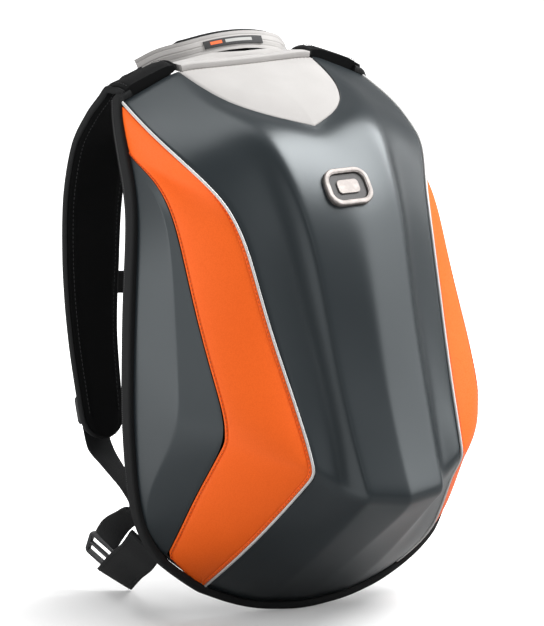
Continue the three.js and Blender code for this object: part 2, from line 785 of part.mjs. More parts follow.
// A flat plate with rounded corners and openings, lying in X and Y and rising from zero in Z.
function plateOf(width, height, corner, thick, holes, steps) {
  const outline = (w, h, r, Kind) => {
    const shape = new Kind();
    shape.moveTo(-w / 2 + r, -h / 2);
    shape.lineTo(w / 2 - r, -h / 2).absarc(w / 2 - r, -h / 2 + r, r, -Math.PI / 2, 0);
    shape.lineTo(w / 2, h / 2 - r).absarc(w / 2 - r, h / 2 - r, r, 0, Math.PI / 2);
    shape.lineTo(-w / 2 + r, h / 2).absarc(-w / 2 + r, h / 2 - r, r, Math.PI / 2, Math.PI);
    shape.lineTo(-w / 2, -h / 2 + r).absarc(-w / 2 + r, -h / 2 + r, r, Math.PI, 1.5 * Math.PI);
    return shape;
  };
  const shape = outline(width, height, corner, THREE.Shape);
  for (const { w, h, r, y } of holes) {
    const hole = outline(w, h, r, THREE.Shape).getPoints(steps).map((p) => p.setY(p.y + y));
    shape.holes.push(new THREE.Path(hole));
  }
  const body = new THREE.ExtrudeGeometry(shape, { depth: thick, bevelEnabled: false, curveSegments: steps });
  const flat = body.getAttribute("position");
  const corners = Array.from({ length: flat.count }, (_, i) => new THREE.Vector3().fromBufferAttribute(flat, i));
  return solidFrom(Array.from({ length: flat.count / 3 }, (_, i) => corners.slice(3 * i, 3 * i + 3)));
}

// Turns and moves a plate so that its X runs along wide, its Y along up, and its centre lies at a point.
function seatPlate(geometry, at, wide, up) {
  const x = wide.clone().normalize();
  const y = up.clone().addScaledVector(x, -up.dot(x)).normalize();
  const turn = new THREE.Matrix4().makeBasis(x, y, x.clone().cross(y)).setPosition(at);
  return geometry.applyMatrix4(turn);
}

function lock(at, wide, up) {
  const slot = (LOCK_LENGTH - 3 * LOCK_BAR) / 2;
  const y = (slot + LOCK_BAR) / 2;
  const hole = { w: LOCK_WIDTH - 2 * LOCK_BAR, h: slot, r: 1 };
  const frame = plateOf(LOCK_WIDTH, LOCK_LENGTH, 3, LOCK_THICK, [{ ...hole, y }, { ...hole, y: -y }], 2);
  return seatPlate(frame.translate(0, 0, -LOCK_THICK / 2), at, wide, up);
}

// The handle's arc, from behind one strap root over the top trim to the other.
const HANDLE_PATH = [
  // [share of HANDLE_HALF, behind the shell's top edge, above the shell's top edge]
  [-1, 41, -7],
  [-0.82, 29.8, 2.5],
  [-0.56, 15.5, 9.5],
  [-0.28, 9.5, 14],
  [0, 7.5, 15.5],
  [0.28, 9.5, 14],
  [0.56, 15.5, 9.5],
  [0.82, 29.8, 2.5],
  [1, 41, -7],
];
function handleLayer(width, thick, steps, options) {
  const stations = HANDLE_PATH.map(([share, behind, above]) => ({
    at: v3(share * HANDLE_HALF, SWEEP + behind, HEIGHT + above),
    wide: v3(0, 0.5, 0.866),
    width,
    thick,
  }));
  return bandOf(stations, steps, options);
}

const group = new THREE.Group();
const MATERIALS = {
  shell: { color: 0x35393c, roughness: 0.42, metalness: 0.0 },
  stripe: { color: 0xf06422, roughness: 0.62, metalness: 0.0 },
  reflective: { color: 0xb9bcbd, roughness: 0.35, metalness: 0.2 },
  pale: { color: 0xdedbd8, roughness: 0.75, metalness: 0.0 },
  black: { color: 0x121314, roughness: 0.85, metalness: 0.0 },
  webbing: { color: 0x17191a, roughness: 0.8, metalness: 0.0 },
  buckle: { color: 0x1c1d1f, roughness: 0.4, metalness: 0.0 },
  metal: { color: 0xa9a5a2, roughness: 0.32, metalness: 1.0 },
};
const materials = Object.fromEntries(
  Object.entries(MATERIALS).map(([name, values]) => [name, new THREE.MeshStandardMaterial(values)]),
);
function add(name, geometry, material) {
  const mesh = new THREE.Mesh(geometry, materials[material]);
  mesh.name = name;
  group.add(mesh);
}
function mirrorGeometry(geometry) {
  const copy = geometry.clone().scale(-1, 1, 1);
  copy.setIndex([...copy.index.array].reverse());
  return copy;
}
function addPair(name, geometry, material) {
  add(name + "_left", geometry, material);
  add(name + "_right", mirrorGeometry(geometry), material);
}

add("shell_front", shellFront(), "shell");
add("top_panel", topPanel(), "pale");
add("top_trim", topTrim(), "pale");
addPair("side_stripe", stripeWall(), "stripe");
addPair("piping", piping(), "reflective");
addPair("side_panel", sideWall(), "shell");
add("binding", binding(), "black");
add("zip", zip(), "black");
add("back_panel", backPanel(), "black");

// The handle is two layers, pale in front and padded black behind, with a woven label on the front one.
const backingOffset = (HANDLE_THICK + BACKING_THICK) / 2 + CLEARANCE;
const labelOffset = -(HANDLE_THICK + LABEL_THICK) / 2 - CLEARANCE;
const labelShare = LABEL_LENGTH / (2.5 * HANDLE_HALF);
const backing = { offset: backingOffset, lift: BACKING_LIFT, from: 0.14, to: 0.86 };
const label = { offset: labelOffset, from: 0.5 - labelShare / 2, to: 0.5 + labelShare / 2 };
add("handle", handleLayer(HANDLE_WIDTH, HANDLE_THICK, 16, {}), "pale");
add("handle_backing", handleLayer(HANDLE_WIDTH, BACKING_THICK, 12, backing), "black");
add("handle_label", handleLayer(LABEL_WIDTH, LABEL_THICK, 6, label), "webbing");

// The badge lies on the ridge, square to it.
const badgeSeat = front.at(BADGE_AT, 0.5);
const badgeOut = front.out(BADGE_AT, 0.5);
const badgeUp = v3(0, 0, 1).addScaledVector(badgeOut, -badgeOut.z);
const badgeHole = {
  w: BADGE_WIDTH - 2 * BADGE_RIM,
  h: BADGE_HEIGHT - 2 * BADGE_RIM,
  r: BADGE_CORNER - BADGE_RIM,
  y: 0,
};
const lifted = (height) => badgeSeat.clone().addScaledVector(badgeOut, height);
const rim = plateOf(BADGE_WIDTH, BADGE_HEIGHT, BADGE_CORNER, BADGE_RIM_THICK, [badgeHole], 5);
add("badge_rim", seatPlate(rim, lifted(0.35), v3(1, 0, 0), badgeUp), "metal");
const plate = plateOf(
  badgeHole.w - 2 * CLEARANCE,
  badgeHole.h - 2 * CLEARANCE,
  badgeHole.r - CLEARANCE,
  BADGE_PLATE_THICK,
  [],
  5,
);
add("badge_plate", seatPlate(plate, lifted(0.35), v3(1, 0, 0), badgeUp), "metal");

addPair("strap_pad", strapPad(), "black");
addPair("strap_webbing", lowerWebbing(), "webbing");
addPair("strap_anchor", anchor(), "webbing");
const padLockAt = v3(-0.713 * HALF, 0.925 * STRAP_REACH, 0.345 * HEIGHT);
addPair("pad_lock", lock(padLockAt, v3(0.8, 0.6, 0), v3(0, 0.22, 1)), "buckle");
const lowLockAt = v3(-0.577 * HALF, 0.965 * STRAP_REACH, 0.067 * HEIGHT);
addPair("anchor_lock", lock(lowLockAt, v3(-0.25, 0.8, 0.5), v3(-0.1, -0.6, 0.8)), "buckle");

// The chest strap joins both pads and is closed by a clip in its middle.
const STERNUM_RISE = 0.565;
const STERNUM_BACK = 1.009;
const sternumEnd = CLIP_WIDTH / 2 + 2 * CLEARANCE;
const sternumStations = [
  // [out of half width, back of reach, rise of HEIGHT]
  [0.66, STERNUM_BACK - 0.018, STERNUM_RISE + 0.008],
  [0.48, STERNUM_BACK - 0.006, STERNUM_RISE + 0.006],
  [0.3, STERNUM_BACK + 0.002, STERNUM_RISE],
  [sternumEnd / HALF, STERNUM_BACK + 0.004, STERNUM_RISE - 0.004],
].map(([out, back, rise]) => ({
  at: v3(-out * HALF, back * STRAP_REACH, rise * HEIGHT),
  wide: v3(0, 0, 1),
  width: STERNUM_WIDTH,
  thick: WEBBING_THICK,
}));
addPair("sternum_strap", bandOf(sternumStations, 8), "webbing");
const clip = plateOf(CLIP_WIDTH, CLIP_HEIGHT, 5, CLIP_THICK, [], 3).translate(0, 0, -CLIP_THICK / 2);
const clipSeat = v3(0, (STERNUM_BACK + 0.004) * STRAP_REACH, (STERNUM_RISE - 0.004) * HEIGHT);
add("sternum_clip", seatPlate(clip, clipSeat, v3(1, 0, 0), v3(0, 0, 1)), "buckle");

// The part stands on the ground with its box's bottom centre at the origin.
const box = new THREE.Box3().setFromObject(group);
const shift = box.getCenter(v3(0, 0, 0)).setZ(box.min.z).negate();
for (const mesh of group.children) mesh.geometry.translate(shift.x, shift.y, shift.z);

export default group;
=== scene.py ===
import json
import math

import bpy
import numpy as np
from mathutils import Matrix, Vector

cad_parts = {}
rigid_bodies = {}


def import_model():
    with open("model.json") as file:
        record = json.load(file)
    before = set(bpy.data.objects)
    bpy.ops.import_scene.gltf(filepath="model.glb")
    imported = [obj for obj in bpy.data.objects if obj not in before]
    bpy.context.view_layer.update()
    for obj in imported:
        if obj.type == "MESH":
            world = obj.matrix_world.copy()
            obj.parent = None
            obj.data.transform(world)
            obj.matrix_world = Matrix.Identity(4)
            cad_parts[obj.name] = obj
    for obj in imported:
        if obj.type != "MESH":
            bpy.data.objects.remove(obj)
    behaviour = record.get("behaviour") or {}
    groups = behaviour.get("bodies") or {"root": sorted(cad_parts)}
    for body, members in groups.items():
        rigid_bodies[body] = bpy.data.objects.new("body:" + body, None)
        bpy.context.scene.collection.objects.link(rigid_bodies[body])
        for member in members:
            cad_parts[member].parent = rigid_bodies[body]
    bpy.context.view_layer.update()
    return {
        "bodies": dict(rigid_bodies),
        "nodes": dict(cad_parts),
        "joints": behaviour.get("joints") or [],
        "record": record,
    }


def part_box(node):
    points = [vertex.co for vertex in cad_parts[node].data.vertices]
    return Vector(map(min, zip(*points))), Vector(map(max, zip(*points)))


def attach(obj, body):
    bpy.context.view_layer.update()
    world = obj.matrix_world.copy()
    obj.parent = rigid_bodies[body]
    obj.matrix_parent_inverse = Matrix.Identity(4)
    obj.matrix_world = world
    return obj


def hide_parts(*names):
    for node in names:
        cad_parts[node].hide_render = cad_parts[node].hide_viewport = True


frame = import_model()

# The body's outer form.
# One moulded shape leans back from its foot: a front with a raised ridge, two stripes and two sides, which
# meet the back at a bound seam. Its rails run from the top edge to the foot, each row [rise, out, fore].
MM = 0.001
WIDTH, HEIGHT, DEPTH, SWEEP = 0.336, 0.478, 0.185, 0.094
BACK_RISE = [0.0, 0.11, 0.21, 0.39, 0.54, 0.68, 0.745, 0.79, 0.85, 0.91, 0.955, 1.05]
BACK_LEAN = [0.0, 0.04, 0.15, 0.23, 0.27, 0.38, 0.46, 0.57, 0.77, 0.93, 1.0, 1.03]
PIPING_RAIL = [
    [0.95, 0.77, 0.0], [0.916, 0.803, 0.2], [0.879, 0.78, 0.344], [0.85, 0.752, 0.445],
    [0.814, 0.688, 0.487], [0.78, 0.637, 0.508], [0.738, 0.606, 0.524], [0.69, 0.585, 0.551],
    [0.569, 0.555, 0.611], [0.46, 0.513, 0.708], [0.366, 0.485, 0.8], [0.305, 0.474, 0.842],
    [0.252, 0.5, 0.69], [0.176, 0.577, 0.486], [0.113, 0.628, 0.265], [0.052, 0.619, 0.0],
]
VALLEY_RAIL = [
    [0.977, 0.595, 0.022], [0.946, 0.613, 0.205], [0.921, 0.595, 0.378], [0.9, 0.554, 0.514],
    [0.872, 0.476, 0.605], [0.822, 0.417, 0.618], [0.766, 0.393, 0.614], [0.695, 0.363, 0.628],
    [0.554, 0.339, 0.68], [0.444, 0.327, 0.76], [0.347, 0.318, 0.82], [0.27, 0.315, 0.855],
    [0.229, 0.327, 0.76], [0.151, 0.393, 0.514], [0.079, 0.423, 0.259], [0.024, 0.429, 0.0],
]
RIDGE_RAIL = [
    [1.0, 0.423, 0.038], [0.975, 0.435, 0.232], [0.952, 0.423, 0.4], [0.929, 0.393, 0.557],
    [0.902, 0.345, 0.676], [0.845, 0.325, 0.712], [0.778, 0.31, 0.708], [0.695, 0.29, 0.722],
    [0.548, 0.271, 0.762], [0.435, 0.262, 0.838], [0.339, 0.25, 0.912], [0.258, 0.241, 0.985],
    [0.222, 0.238, 0.86], [0.126, 0.25, 0.497], [0.063, 0.262, 0.254], [0.01, 0.268, 0.0],
]
CENTRE_RAIL = [
    [0.998, 0.0, 0.043], [0.979, 0.0, 0.238], [0.96, 0.0, 0.384], [0.941, 0.0, 0.508],
    [0.914, 0.0, 0.611], [0.856, 0.0, 0.697], [0.787, 0.0, 0.73], [0.695, 0.0, 0.762],
    [0.544, 0.0, 0.8], [0.431, 0.0, 0.865], [0.335, 0.0, 0.941], [0.25, 0.0, 1.025],
    [0.21, 0.0, 0.9], [0.113, 0.0, 0.465], [0.056, 0.0, 0.243], [0.0, 0.0, 0.0],
]
STRIPE_RAIL = [
    [0.95, 0.77, 0.0], [0.929, 0.783, 0.0], [0.906, 0.792, 0.0], [0.881, 0.804, 0.0],
    [0.854, 0.815, 0.011], [0.824, 0.821, 0.178], [0.787, 0.827, 0.249], [0.732, 0.833, 0.292],
    [0.603, 0.833, 0.357], [0.502, 0.833, 0.454], [0.412, 0.819, 0.55], [0.36, 0.813, 0.545],
    [0.299, 0.827, 0.416], [0.226, 0.851, 0.27], [0.167, 0.857, 0.146], [0.111, 0.857, 0.0],
]
CREASE_RAIL = [
    [0.95, 0.77, 0.0], [0.929, 0.783, 0.0], [0.906, 0.792, 0.0], [0.881, 0.804, 0.0],
    [0.854, 0.815, 0.006], [0.826, 0.824, 0.086], [0.789, 0.839, 0.195], [0.732, 0.86, 0.262],
    [0.603, 0.88, 0.268], [0.502, 0.917, 0.308], [0.412, 0.946, 0.351], [0.356, 0.953, 0.297],
    [0.297, 0.971, 0.189], [0.224, 0.985, 0.06], [0.159, 0.955, 0.02], [0.111, 0.857, 0.0],
]
SEAM_RAIL = [
    [0.95, 0.77, 0.0], [0.929, 0.783, 0.0], [0.906, 0.792, 0.0], [0.881, 0.804, 0.0],
    [0.854, 0.815, 0.0], [0.831, 0.827, 0.0], [0.791, 0.851, 0.0], [0.732, 0.887, 0.0],
    [0.603, 0.961, 0.0], [0.502, 0.991, 0.0], [0.408, 1.003, 0.0], [0.351, 1.006, 0.0],
    [0.293, 1.003, 0.0], [0.222, 0.994, 0.0], [0.155, 0.964, 0.0], [0.111, 0.857, 0.0],
]

# The rails count from the foot's middle, and the frame from its box: the chest clip's place ties the two.
STRAP_REACH = 0.176
CLIP_BEHIND, CLIP_RISE = 1.013, 0.561
clip_low, clip_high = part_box("sternum_clip")
clip_y, clip_z = (clip_low.y + clip_high.y) / 2, (clip_low.z + clip_high.z) / 2
foot = np.array([0, clip_y - CLIP_BEHIND * STRAP_REACH, clip_z - CLIP_RISE * HEIGHT])


def lean(rise):
    return np.interp(rise, BACK_RISE, BACK_LEAN)


def placed(rows):
    rise, out, fore = np.array(rows, float).T
    return np.stack([-out * WIDTH / 2, lean(rise) * SWEEP - fore * DEPTH, rise * HEIGHT], 1) + foot


def spline_weights(count, t):
    """Weights of count control points at each t from 0 to 1, on an even cubic B-spline with clamped ends."""
    spans = count - 3
    at = np.clip(np.asarray(t, float), 0, 1 - 1e-9) * spans
    knots = np.clip(np.arange(count + 4) - 3, 0, spans)
    w = np.array([(knots[i] <= at) & (at < knots[i + 1]) for i in range(count + 3)], float)
    for degree in (1, 2, 3):
        for i in range(count + 3 - degree):
            rising, falling = knots[i + degree] - knots[i], knots[i + degree + 1] - knots[i + 1]
            up = (at - knots[i]) / rising * w[i] if rising else 0
            down = (knots[i + degree + 1] - at) / falling * w[i + 1] if falling else 0
            w[i] = up + down
    return w[:count]


class Surface:
    """A smooth surface from rails, read at shares of the way down and across."""

    def __init__(self, rails):
        self.net = np.array(rails)

    def at(self, down, across):
        down, across = np.broadcast_arrays(np.asarray(down, float), np.asarray(across, float))
        wd = spline_weights(self.net.shape[1], down.ravel())
        wa = spline_weights(self.net.shape[0], across.ravel())
        points = np.einsum("rn,sn,rsc->nc", wa, wd, self.net)
        return points.reshape(*down.shape, 3)

    def out(self, down, across):
        e = 2e-4
        d0, d1 = np.clip(down - e, 0, 1), np.clip(down + e, 0, 1)
        a0, a1 = np.clip(across - e, 0, 1), np.clip(across + e, 0, 1)
        normal = np.cross(self.at(d1, across) - self.at(d0, across), self.at(down, a1) - self.at(down, a0))
        return normal / np.maximum(np.linalg.norm(normal, axis=-1, keepdims=True), 1e-12)


def between(a, b, t):
    return a + (b - a) * np.asarray(t, float).reshape(-1, 1)


def mirrored(points):
    return points * [-1, 1, 1]


piping_rail, valley_rail = placed(PIPING_RAIL), placed(VALLEY_RAIL)
ridge_rail, centre_rail = placed(RIDGE_RAIL), placed(CENTRE_RAIL)
stripe_rail, crease_rail, seam_rail = placed(STRIPE_RAIL), placed(CREASE_RAIL), placed(SEAM_RAIL)
flank = between(piping_rail, valley_rail, 0.5) + [0, -2 * MM, 0]
half_front = [piping_rail, flank, valley_rail, ridge_rail, between(ridge_rail, centre_rail, 0.35)]
plain_front = Surface([*half_front, centre_rail, *[mirrored(r) for r in half_front[::-1]]])

# The real ridge has tighter edges than plain rails give, and its lower half a soft fold down the middle.
stations = np.arange(16)
fold_share = np.interp(stations, [0, 6, 9, 13, 15], [0.6, 0.6, 0.88, 0.88, 0.6])
valley_share = np.interp(stations, [3, 5, 6], [0.5, 0.66, 0.74])
edge_share = np.interp(stations, [3, 5, 6], [0.42, 0.22, 0.15])
sharp_half = [
    piping_rail,
    flank,
    valley_rail,
    between(valley_rail, ridge_rail, valley_share),
    ridge_rail,
    between(ridge_rail, centre_rail, edge_share),
    between(ridge_rail, centre_rail, fold_share),
]


def tightened(rails, station, share):
    """The rails with a pair of extra stations beside one, which draws the surface closer to it."""
    made = []
    for rail in rails:
        before, here, after = rail[station - 1], rail[station], rail[station + 1]
        extra = [here + (before - here) * share, here, here + (after - here) * share]
        made.append(np.concatenate([rail[:station], extra, rail[station + 1 :]]))
    return made


# The step above the foot turns more tightly than the rest, on the front and on the stripe beside it.
STEP_STATION, STEP_SHARE = 11, 0.42
sharp_front = [*sharp_half, centre_rail, *[mirrored(r) for r in sharp_half[::-1]]]
front = Surface(tightened(sharp_front, STEP_STATION, STEP_SHARE))
stripe_swell = np.array([-3.75 * MM, -3.25 * MM, 0])


def stripe_middle(t):
    wide = np.linalg.norm(stripe_rail - piping_rail, axis=1) / (0.4 * WIDTH / 2)
    return between(stripe_rail, piping_rail, t) + stripe_swell * np.minimum(wide, 1)[:, None]


stripe_net = [stripe_rail, stripe_middle(0.33), stripe_middle(0.67), piping_rail]
stripe = Surface(tightened(stripe_net, STEP_STATION, STEP_SHARE))
side = Surface(
    [
        seam_rail,
        between(seam_rail, crease_rail, 0.5),
        between(seam_rail, crease_rail, 0.9),
        crease_rail,
        between(crease_rail, stripe_rail, 0.1),
        between(crease_rail, stripe_rail, 0.6),
        stripe_rail,
    ]
)

# The seam's line, once round from the middle of the top edge down the left side to the foot and up again.
EDGE_STEPS = np.linspace(0, 1, 140)
half_seam = np.concatenate(
    [
        plain_front.at(0, np.linspace(0.5, 0, 60)),
        side.at(EDGE_STEPS, 0)[1:],
        Surface(stripe_net).at(1, np.linspace(0, 1, 16))[1:],
        plain_front.at(1, np.linspace(0, 0.5, 60))[1:],
    ]
)
apart = np.concatenate([[1], np.linalg.norm(np.diff(half_seam, axis=0), axis=1)]) > 0.2 * MM
half_seam = half_seam[apart]


def run_along(points):
    """The distance of each point from the first, along the line."""
    return np.concatenate([[0], np.cumsum(np.linalg.norm(np.diff(points, axis=0), axis=1))])


def resampled(points, spacing, closed=False):
    """Points at even distances along a line."""
    line = np.vstack([points, points[:1]]) if closed else np.asarray(points)
    run = run_along(line)
    count = max(int(round(run[-1] / spacing)), 2)
    marks = np.linspace(0, run[-1], count + 1)[: count if closed else count + 1]
    return np.stack([np.interp(marks, run, line[:, k]) for k in range(3)], 1)


seam_loop = resampled(np.concatenate([half_seam, mirrored(half_seam[1:-1][::-1])]), 3 * MM, closed=True)


# The moulded front.
# A matt dark plastic shell, formed in one piece, with a ridge down its middle that ends in a rounded step.
# Its edges tuck into the binding at the top and the foot, and against the piping at the sides.
SEAM_GAP, EDGE_GAP = 5.2 * MM, 2.0 * MM
SHELL_WALL = 3 * MM
NOTCH_WIDTH = 0.144
POINT_RISE = 0.912


def from_seam(points):
    """Each point's distance from the seam's line."""
    a, b = seam_loop, np.roll(seam_loop, -1, 0)
    flat = points.reshape(-1, 1, 3)
    run = b - a
    t = np.clip(((flat - a) * run).sum(-1) / (run * run).sum(-1), 0, 1)[..., None]
    return np.linalg.norm(flat - a - run * t, axis=-1).min(1).reshape(points.shape[:-1])


def first_from(edge, too_near, count):
    """For each of count rows, the share nearest the edge at which it is no longer too near."""
    near, far = np.full(count, float(edge)), np.full(count, 1.0 - edge)
    for _ in range(22):
        middle = (near + far) / 2
        close = too_near(middle)
        near, far = np.where(close, middle, near), np.where(close, far, middle)
    return far


def inset(surface, edge, gap):
    """The share across at which a surface lies a gap away from one of its long edges, all the way down."""
    downs = np.linspace(0, 1, 160)
    start = surface.at(downs, edge)
    along = np.gradient(start, axis=0)
    along /= np.maximum(np.linalg.norm(along, axis=1, keepdims=True), 1e-9)

    def too_near(across):
        offset = surface.at(downs, across) - start
        offset -= along * (offset * along).sum(1, keepdims=True)
        return np.linalg.norm(offset, axis=1) < gap

    found = first_from(edge, too_near, len(downs))
    return lambda down: np.interp(down, downs, found)


def down_at_rise(surface, rise):
    """How far down its middle a surface passes a height, a share of the pack's."""
    downs = np.linspace(0, 0.9, 400)
    heights = surface.at(downs, 0.5)[:, 2] - foot[2]
    return float(np.interp(-rise * HEIGHT, -heights, downs))


notch_end = down_at_rise(front, POINT_RISE)


def notch_half(down):
    """Half the notch's width, a shield's outline that closes in a point."""
    s = np.clip(down / notch_end, 0, 1)
    return NOTCH_WIDTH / 2 * np.maximum(1 - s**1.45, 0) ** 0.8


def across_front(down, x):
    """Where a distance x left of the middle lies across the front."""
    near, far = np.zeros_like(down), np.full_like(down, 0.5)
    for _ in range(24):
        middle = (near + far) / 2
        outside = front.at(down, middle)[..., 0] < -x
        near, far = np.where(outside, middle, near), np.where(outside, far, middle)
    return near


half_across = np.linspace(0, 1, 160) / 2
front_edge = inset(front, 0, EDGE_GAP)
first_down = first_from(0, lambda d: from_seam(front.at(d, half_across)) < SEAM_GAP, len(half_across))
last_down = first_from(1, lambda d: from_seam(front.at(d, half_across)) < SEAM_GAP, len(half_across))


def clear_of_seam(station, across):
    """Where a station lies when the rows are spread evenly between the seam's gaps at top and foot."""
    start, end = np.interp(across, half_across, first_down), np.interp(across, half_across, last_down)
    upper = start + (notch_end - start) * station / notch_end
    lower = notch_end + (end - notch_end) * (station - notch_end) / (1 - notch_end)
    return np.where(station <= notch_end, upper, lower)


def front_half(stations, shares_across, inner_edge, outer_edge):
    """A grid over the left half of the front between two edges, clear of the seam at both ends."""
    station, t = np.meshgrid(stations, shares_across, indexing="ij")
    rough = outer_edge(station) + (inner_edge(station) - outer_edge(station)) * t
    down = clear_of_seam(station, rough)
    return down, outer_edge(down) + (inner_edge(down) - outer_edge(down)) * t


SHELL_GAP = 0.25 * MM
downs = np.linspace(0, 1, 400)
notch_line = across_front(downs, notch_half(downs) + SHELL_GAP)
shell_steps = np.concatenate([np.linspace(0, notch_end, 44), np.linspace(notch_end, 1, 130)[1:]])


def shell_inner_edge(down):
    return np.where(down >= notch_end, 0.5, np.interp(down, downs, notch_line))


down, across = front_half(shell_steps, np.linspace(0, 1, 64), shell_inner_edge, front_edge)
notch_downs = np.linspace(0, notch_end, 60)
notch_points = front.at(notch_downs, across_front(notch_downs, notch_half(notch_downs)))
SCOOP = 2.8 * MM


def scooped(points, normals, reach):
    """The surface near the panel's edge, pressed in along it and most of all round its point."""
    far = np.linalg.norm(points.reshape(-1, 1, 3) - notch_points, axis=2)
    nearest = far.argmin(1)
    strength = np.interp(notch_downs[nearest] / notch_end, [0, 0.35, 1], [0, 0.75, 1])
    depth = SCOOP * strength * np.exp(-((far.min(1) / reach) ** 2))
    return points - normals * depth.reshape(*points.shape[:-1], 1)


shell_left = scooped(front.at(down, across), front.out(down, across), 13 * MM)


def shown(name, data):
    """An object of the scene with some data, at the origin."""
    made = bpy.data.objects.new(name, data)
    bpy.context.scene.collection.objects.link(made)
    return made


def mesh_piece(name, points, faces, uvs=None):
    """An object from points and faces, with an optional map in metres."""
    mesh = bpy.data.meshes.new(name)
    mesh.from_pydata([tuple(p) for p in np.asarray(points)], [], [tuple(int(i) for i in f) for f in faces])
    if uvs is not None:
        layer = mesh.uv_layers.new(name="cloth")
        corners = np.empty(len(mesh.loops), int)
        mesh.loops.foreach_get("vertex_index", corners)
        layer.data.foreach_set("uv", np.asarray(uvs, np.float32)[corners].ravel())
    mesh.validate()
    return shown(name, mesh)


def grid_faces(rows, columns, start=0, flip=False):
    """Quads over a grid of points, whose first one has the number start."""
    i = start + np.arange(rows - 1)[:, None] * columns + np.arange(columns - 1)
    quads = np.stack([i, i + columns, i + columns + 1, i + 1], -1).reshape(-1, 4)
    return quads[:, ::-1] if flip else quads


def finished(piece, *modifiers, sharp=35):
    """The piece with its modifiers made real, smooth but for its sharp edges."""
    for kind, settings in modifiers:
        added = piece.modifiers.new(kind.title(), kind)
        for key, value in settings.items():
            setattr(added, key, value)
    mesh = bpy.data.meshes.new_from_object(piece.evaluated_get(bpy.context.evaluated_depsgraph_get()))
    piece.modifiers.clear()
    mesh.name, piece.data = piece.name, mesh
    mesh.shade_smooth()
    mesh.set_sharp_from_angle(angle=math.radians(sharp))
    return piece


def walled(thickness, lip):
    """Modifiers that give a moulded sheet its wall, with a rounded lip."""
    return (
        ("SOLIDIFY", {"thickness": thickness, "offset": -1, "use_even_offset": False}),
        ("BEVEL", {"width": lip, "segments": 2, "limit_method": "ANGLE", "angle_limit": math.radians(50)}),
    )


rows, columns = shell_left.shape[:2]
points = np.concatenate([shell_left.reshape(-1, 3), mirrored(shell_left.reshape(-1, 3))])
faces = np.concatenate([grid_faces(rows, columns), grid_faces(rows, columns, rows * columns, flip=True)])
shell = mesh_piece("shell", points, faces)
finished(shell, ("WELD", {"merge_threshold": 0.03 * MM}), *walled(SHELL_WALL, 0.7 * MM), sharp=40)


class Wire:
    """A number on its way through a finish, so that sums on it read as sums."""

    def __init__(self, finish, socket):
        self.finish, self.socket = finish, socket

    def math(self, operation, *others):
        return self.finish.node("ShaderNodeMath", {"operation": operation}, [self, *others])

    def __add__(self, other):
        return self.math("ADD", other)

    __radd__ = __add__

    def __sub__(self, other):
        return self.math("SUBTRACT", other)

    def __rsub__(self, other):
        return self.finish.node("ShaderNodeMath", {"operation": "SUBTRACT"}, [other, self])

    def __mul__(self, other):
        return self.math("MULTIPLY", other)

    __rmul__ = __mul__

    def __pow__(self, other):
        return self.math("POWER", other)

    def __abs__(self):
        return self.math("ABSOLUTE")

    def sine(self):
        return self.math("SINE")

    def band(self, low, high):
        """0 below low, 1 above high, smooth between."""
        settings = {"interpolation_type": "SMOOTHSTEP"}
        return self.finish.node("ShaderNodeMapRange", settings, [self, low, high])


class Finish:
    """A material made of nodes. Its shader's own sockets hold what is the same all over."""

    def __init__(self, name, **same):
        self.material = bpy.data.materials.new(name)
        self.material.use_nodes = True
        self.nodes, self.links = self.material.node_tree.nodes, self.material.node_tree.links
        self.shader = self.nodes["Principled BSDF"]
        for key, value in same.items():
            self.feed(key.replace("_", " "), value)

    def put(self, value, socket):
        """Links or sets a socket. A colour given as red, green and blue gets its fourth number here."""
        if isinstance(value, Wire):
            self.links.new(value.socket, socket)
        elif hasattr(socket, "default_value"):
            wide = hasattr(value, "__len__") and len(value) == 3 and len(socket.default_value) == 4
            socket.default_value = (*value, 1) if wide else value

    def feed(self, key, value):
        self.put(value, self.shader.inputs[key])

    def node(self, kind, settings=(), sockets=(), out=0):
        """A new node of a kind, its settings first, then the values or links of its sockets."""
        made = self.nodes.new(kind)
        for key, value in dict(settings).items():
            setattr(made, key, value)
        named = sockets.items() if isinstance(sockets, dict) else enumerate(sockets)
        for key, value in named:
            self.put(value, made.inputs[key])
        return Wire(self, made.outputs[out])

    def place(self):
        return self.node("ShaderNodeTexCoord", out="Object")

    def run(self, axis):
        """Metres along the cloth's own map: 0 is its length and 1 its width."""
        cloth = self.node("ShaderNodeUVMap", {"uv_map": "cloth"})
        return self.node("ShaderNodeSeparateXYZ", (), [cloth], out=axis)

    def noise(self, scale, detail=2, rough=0.5):
        sockets = {"Vector": self.place(), "Scale": scale, "Detail": detail, "Roughness": rough}
        return self.node("ShaderNodeTexNoise", (), sockets)

    def waves(self, axis, step):
        """Ups and downs between -1 and 1 along one axis of the cloth's map, one pair in each step."""
        return (self.run(axis) * (2 * math.pi / step)).sine()

    def mix(self, share, low, high):
        """A colour between two others, which the node takes in sockets 6 and 7 and gives from its third."""
        return self.node("ShaderNodeMix", {"data_type": "RGBA"}, {0: share, 6: low, 7: high}, out=2)

    def relief(self, height, depth, strength):
        sockets = {"Height": height, "Distance": depth, "Strength": strength}
        self.feed("Normal", self.node("ShaderNodeBump", (), sockets))

    def on(self, piece, slot, *nodes):
        """Gives a piece this finish and its body, and hides the CAD nodes that it stands for. The slot is not
        used.
        """
        piece.data.materials.clear()
        piece.data.materials.append(self.material)
        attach(piece, "root")
        if nodes:
            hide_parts(*nodes)
        return piece


moulded = Finish("moulded_shell", IOR=1.5, Specular_Tint=(0.9, 0.97, 1.0))
blotch = moulded.noise(9, detail=3)
grain = moulded.noise(2600, detail=2, rough=0.6)
moulded.feed("Base Color", moulded.mix(blotch, (0.0085, 0.0122, 0.0145), (0.013, 0.0172, 0.0202)))
moulded.feed("Roughness", 0.31 + blotch * 0.06 + grain * 0.05)
moulded.relief(grain, 0.04 * MM, 0.5)
moulded.on(shell, "shell", "shell_front")


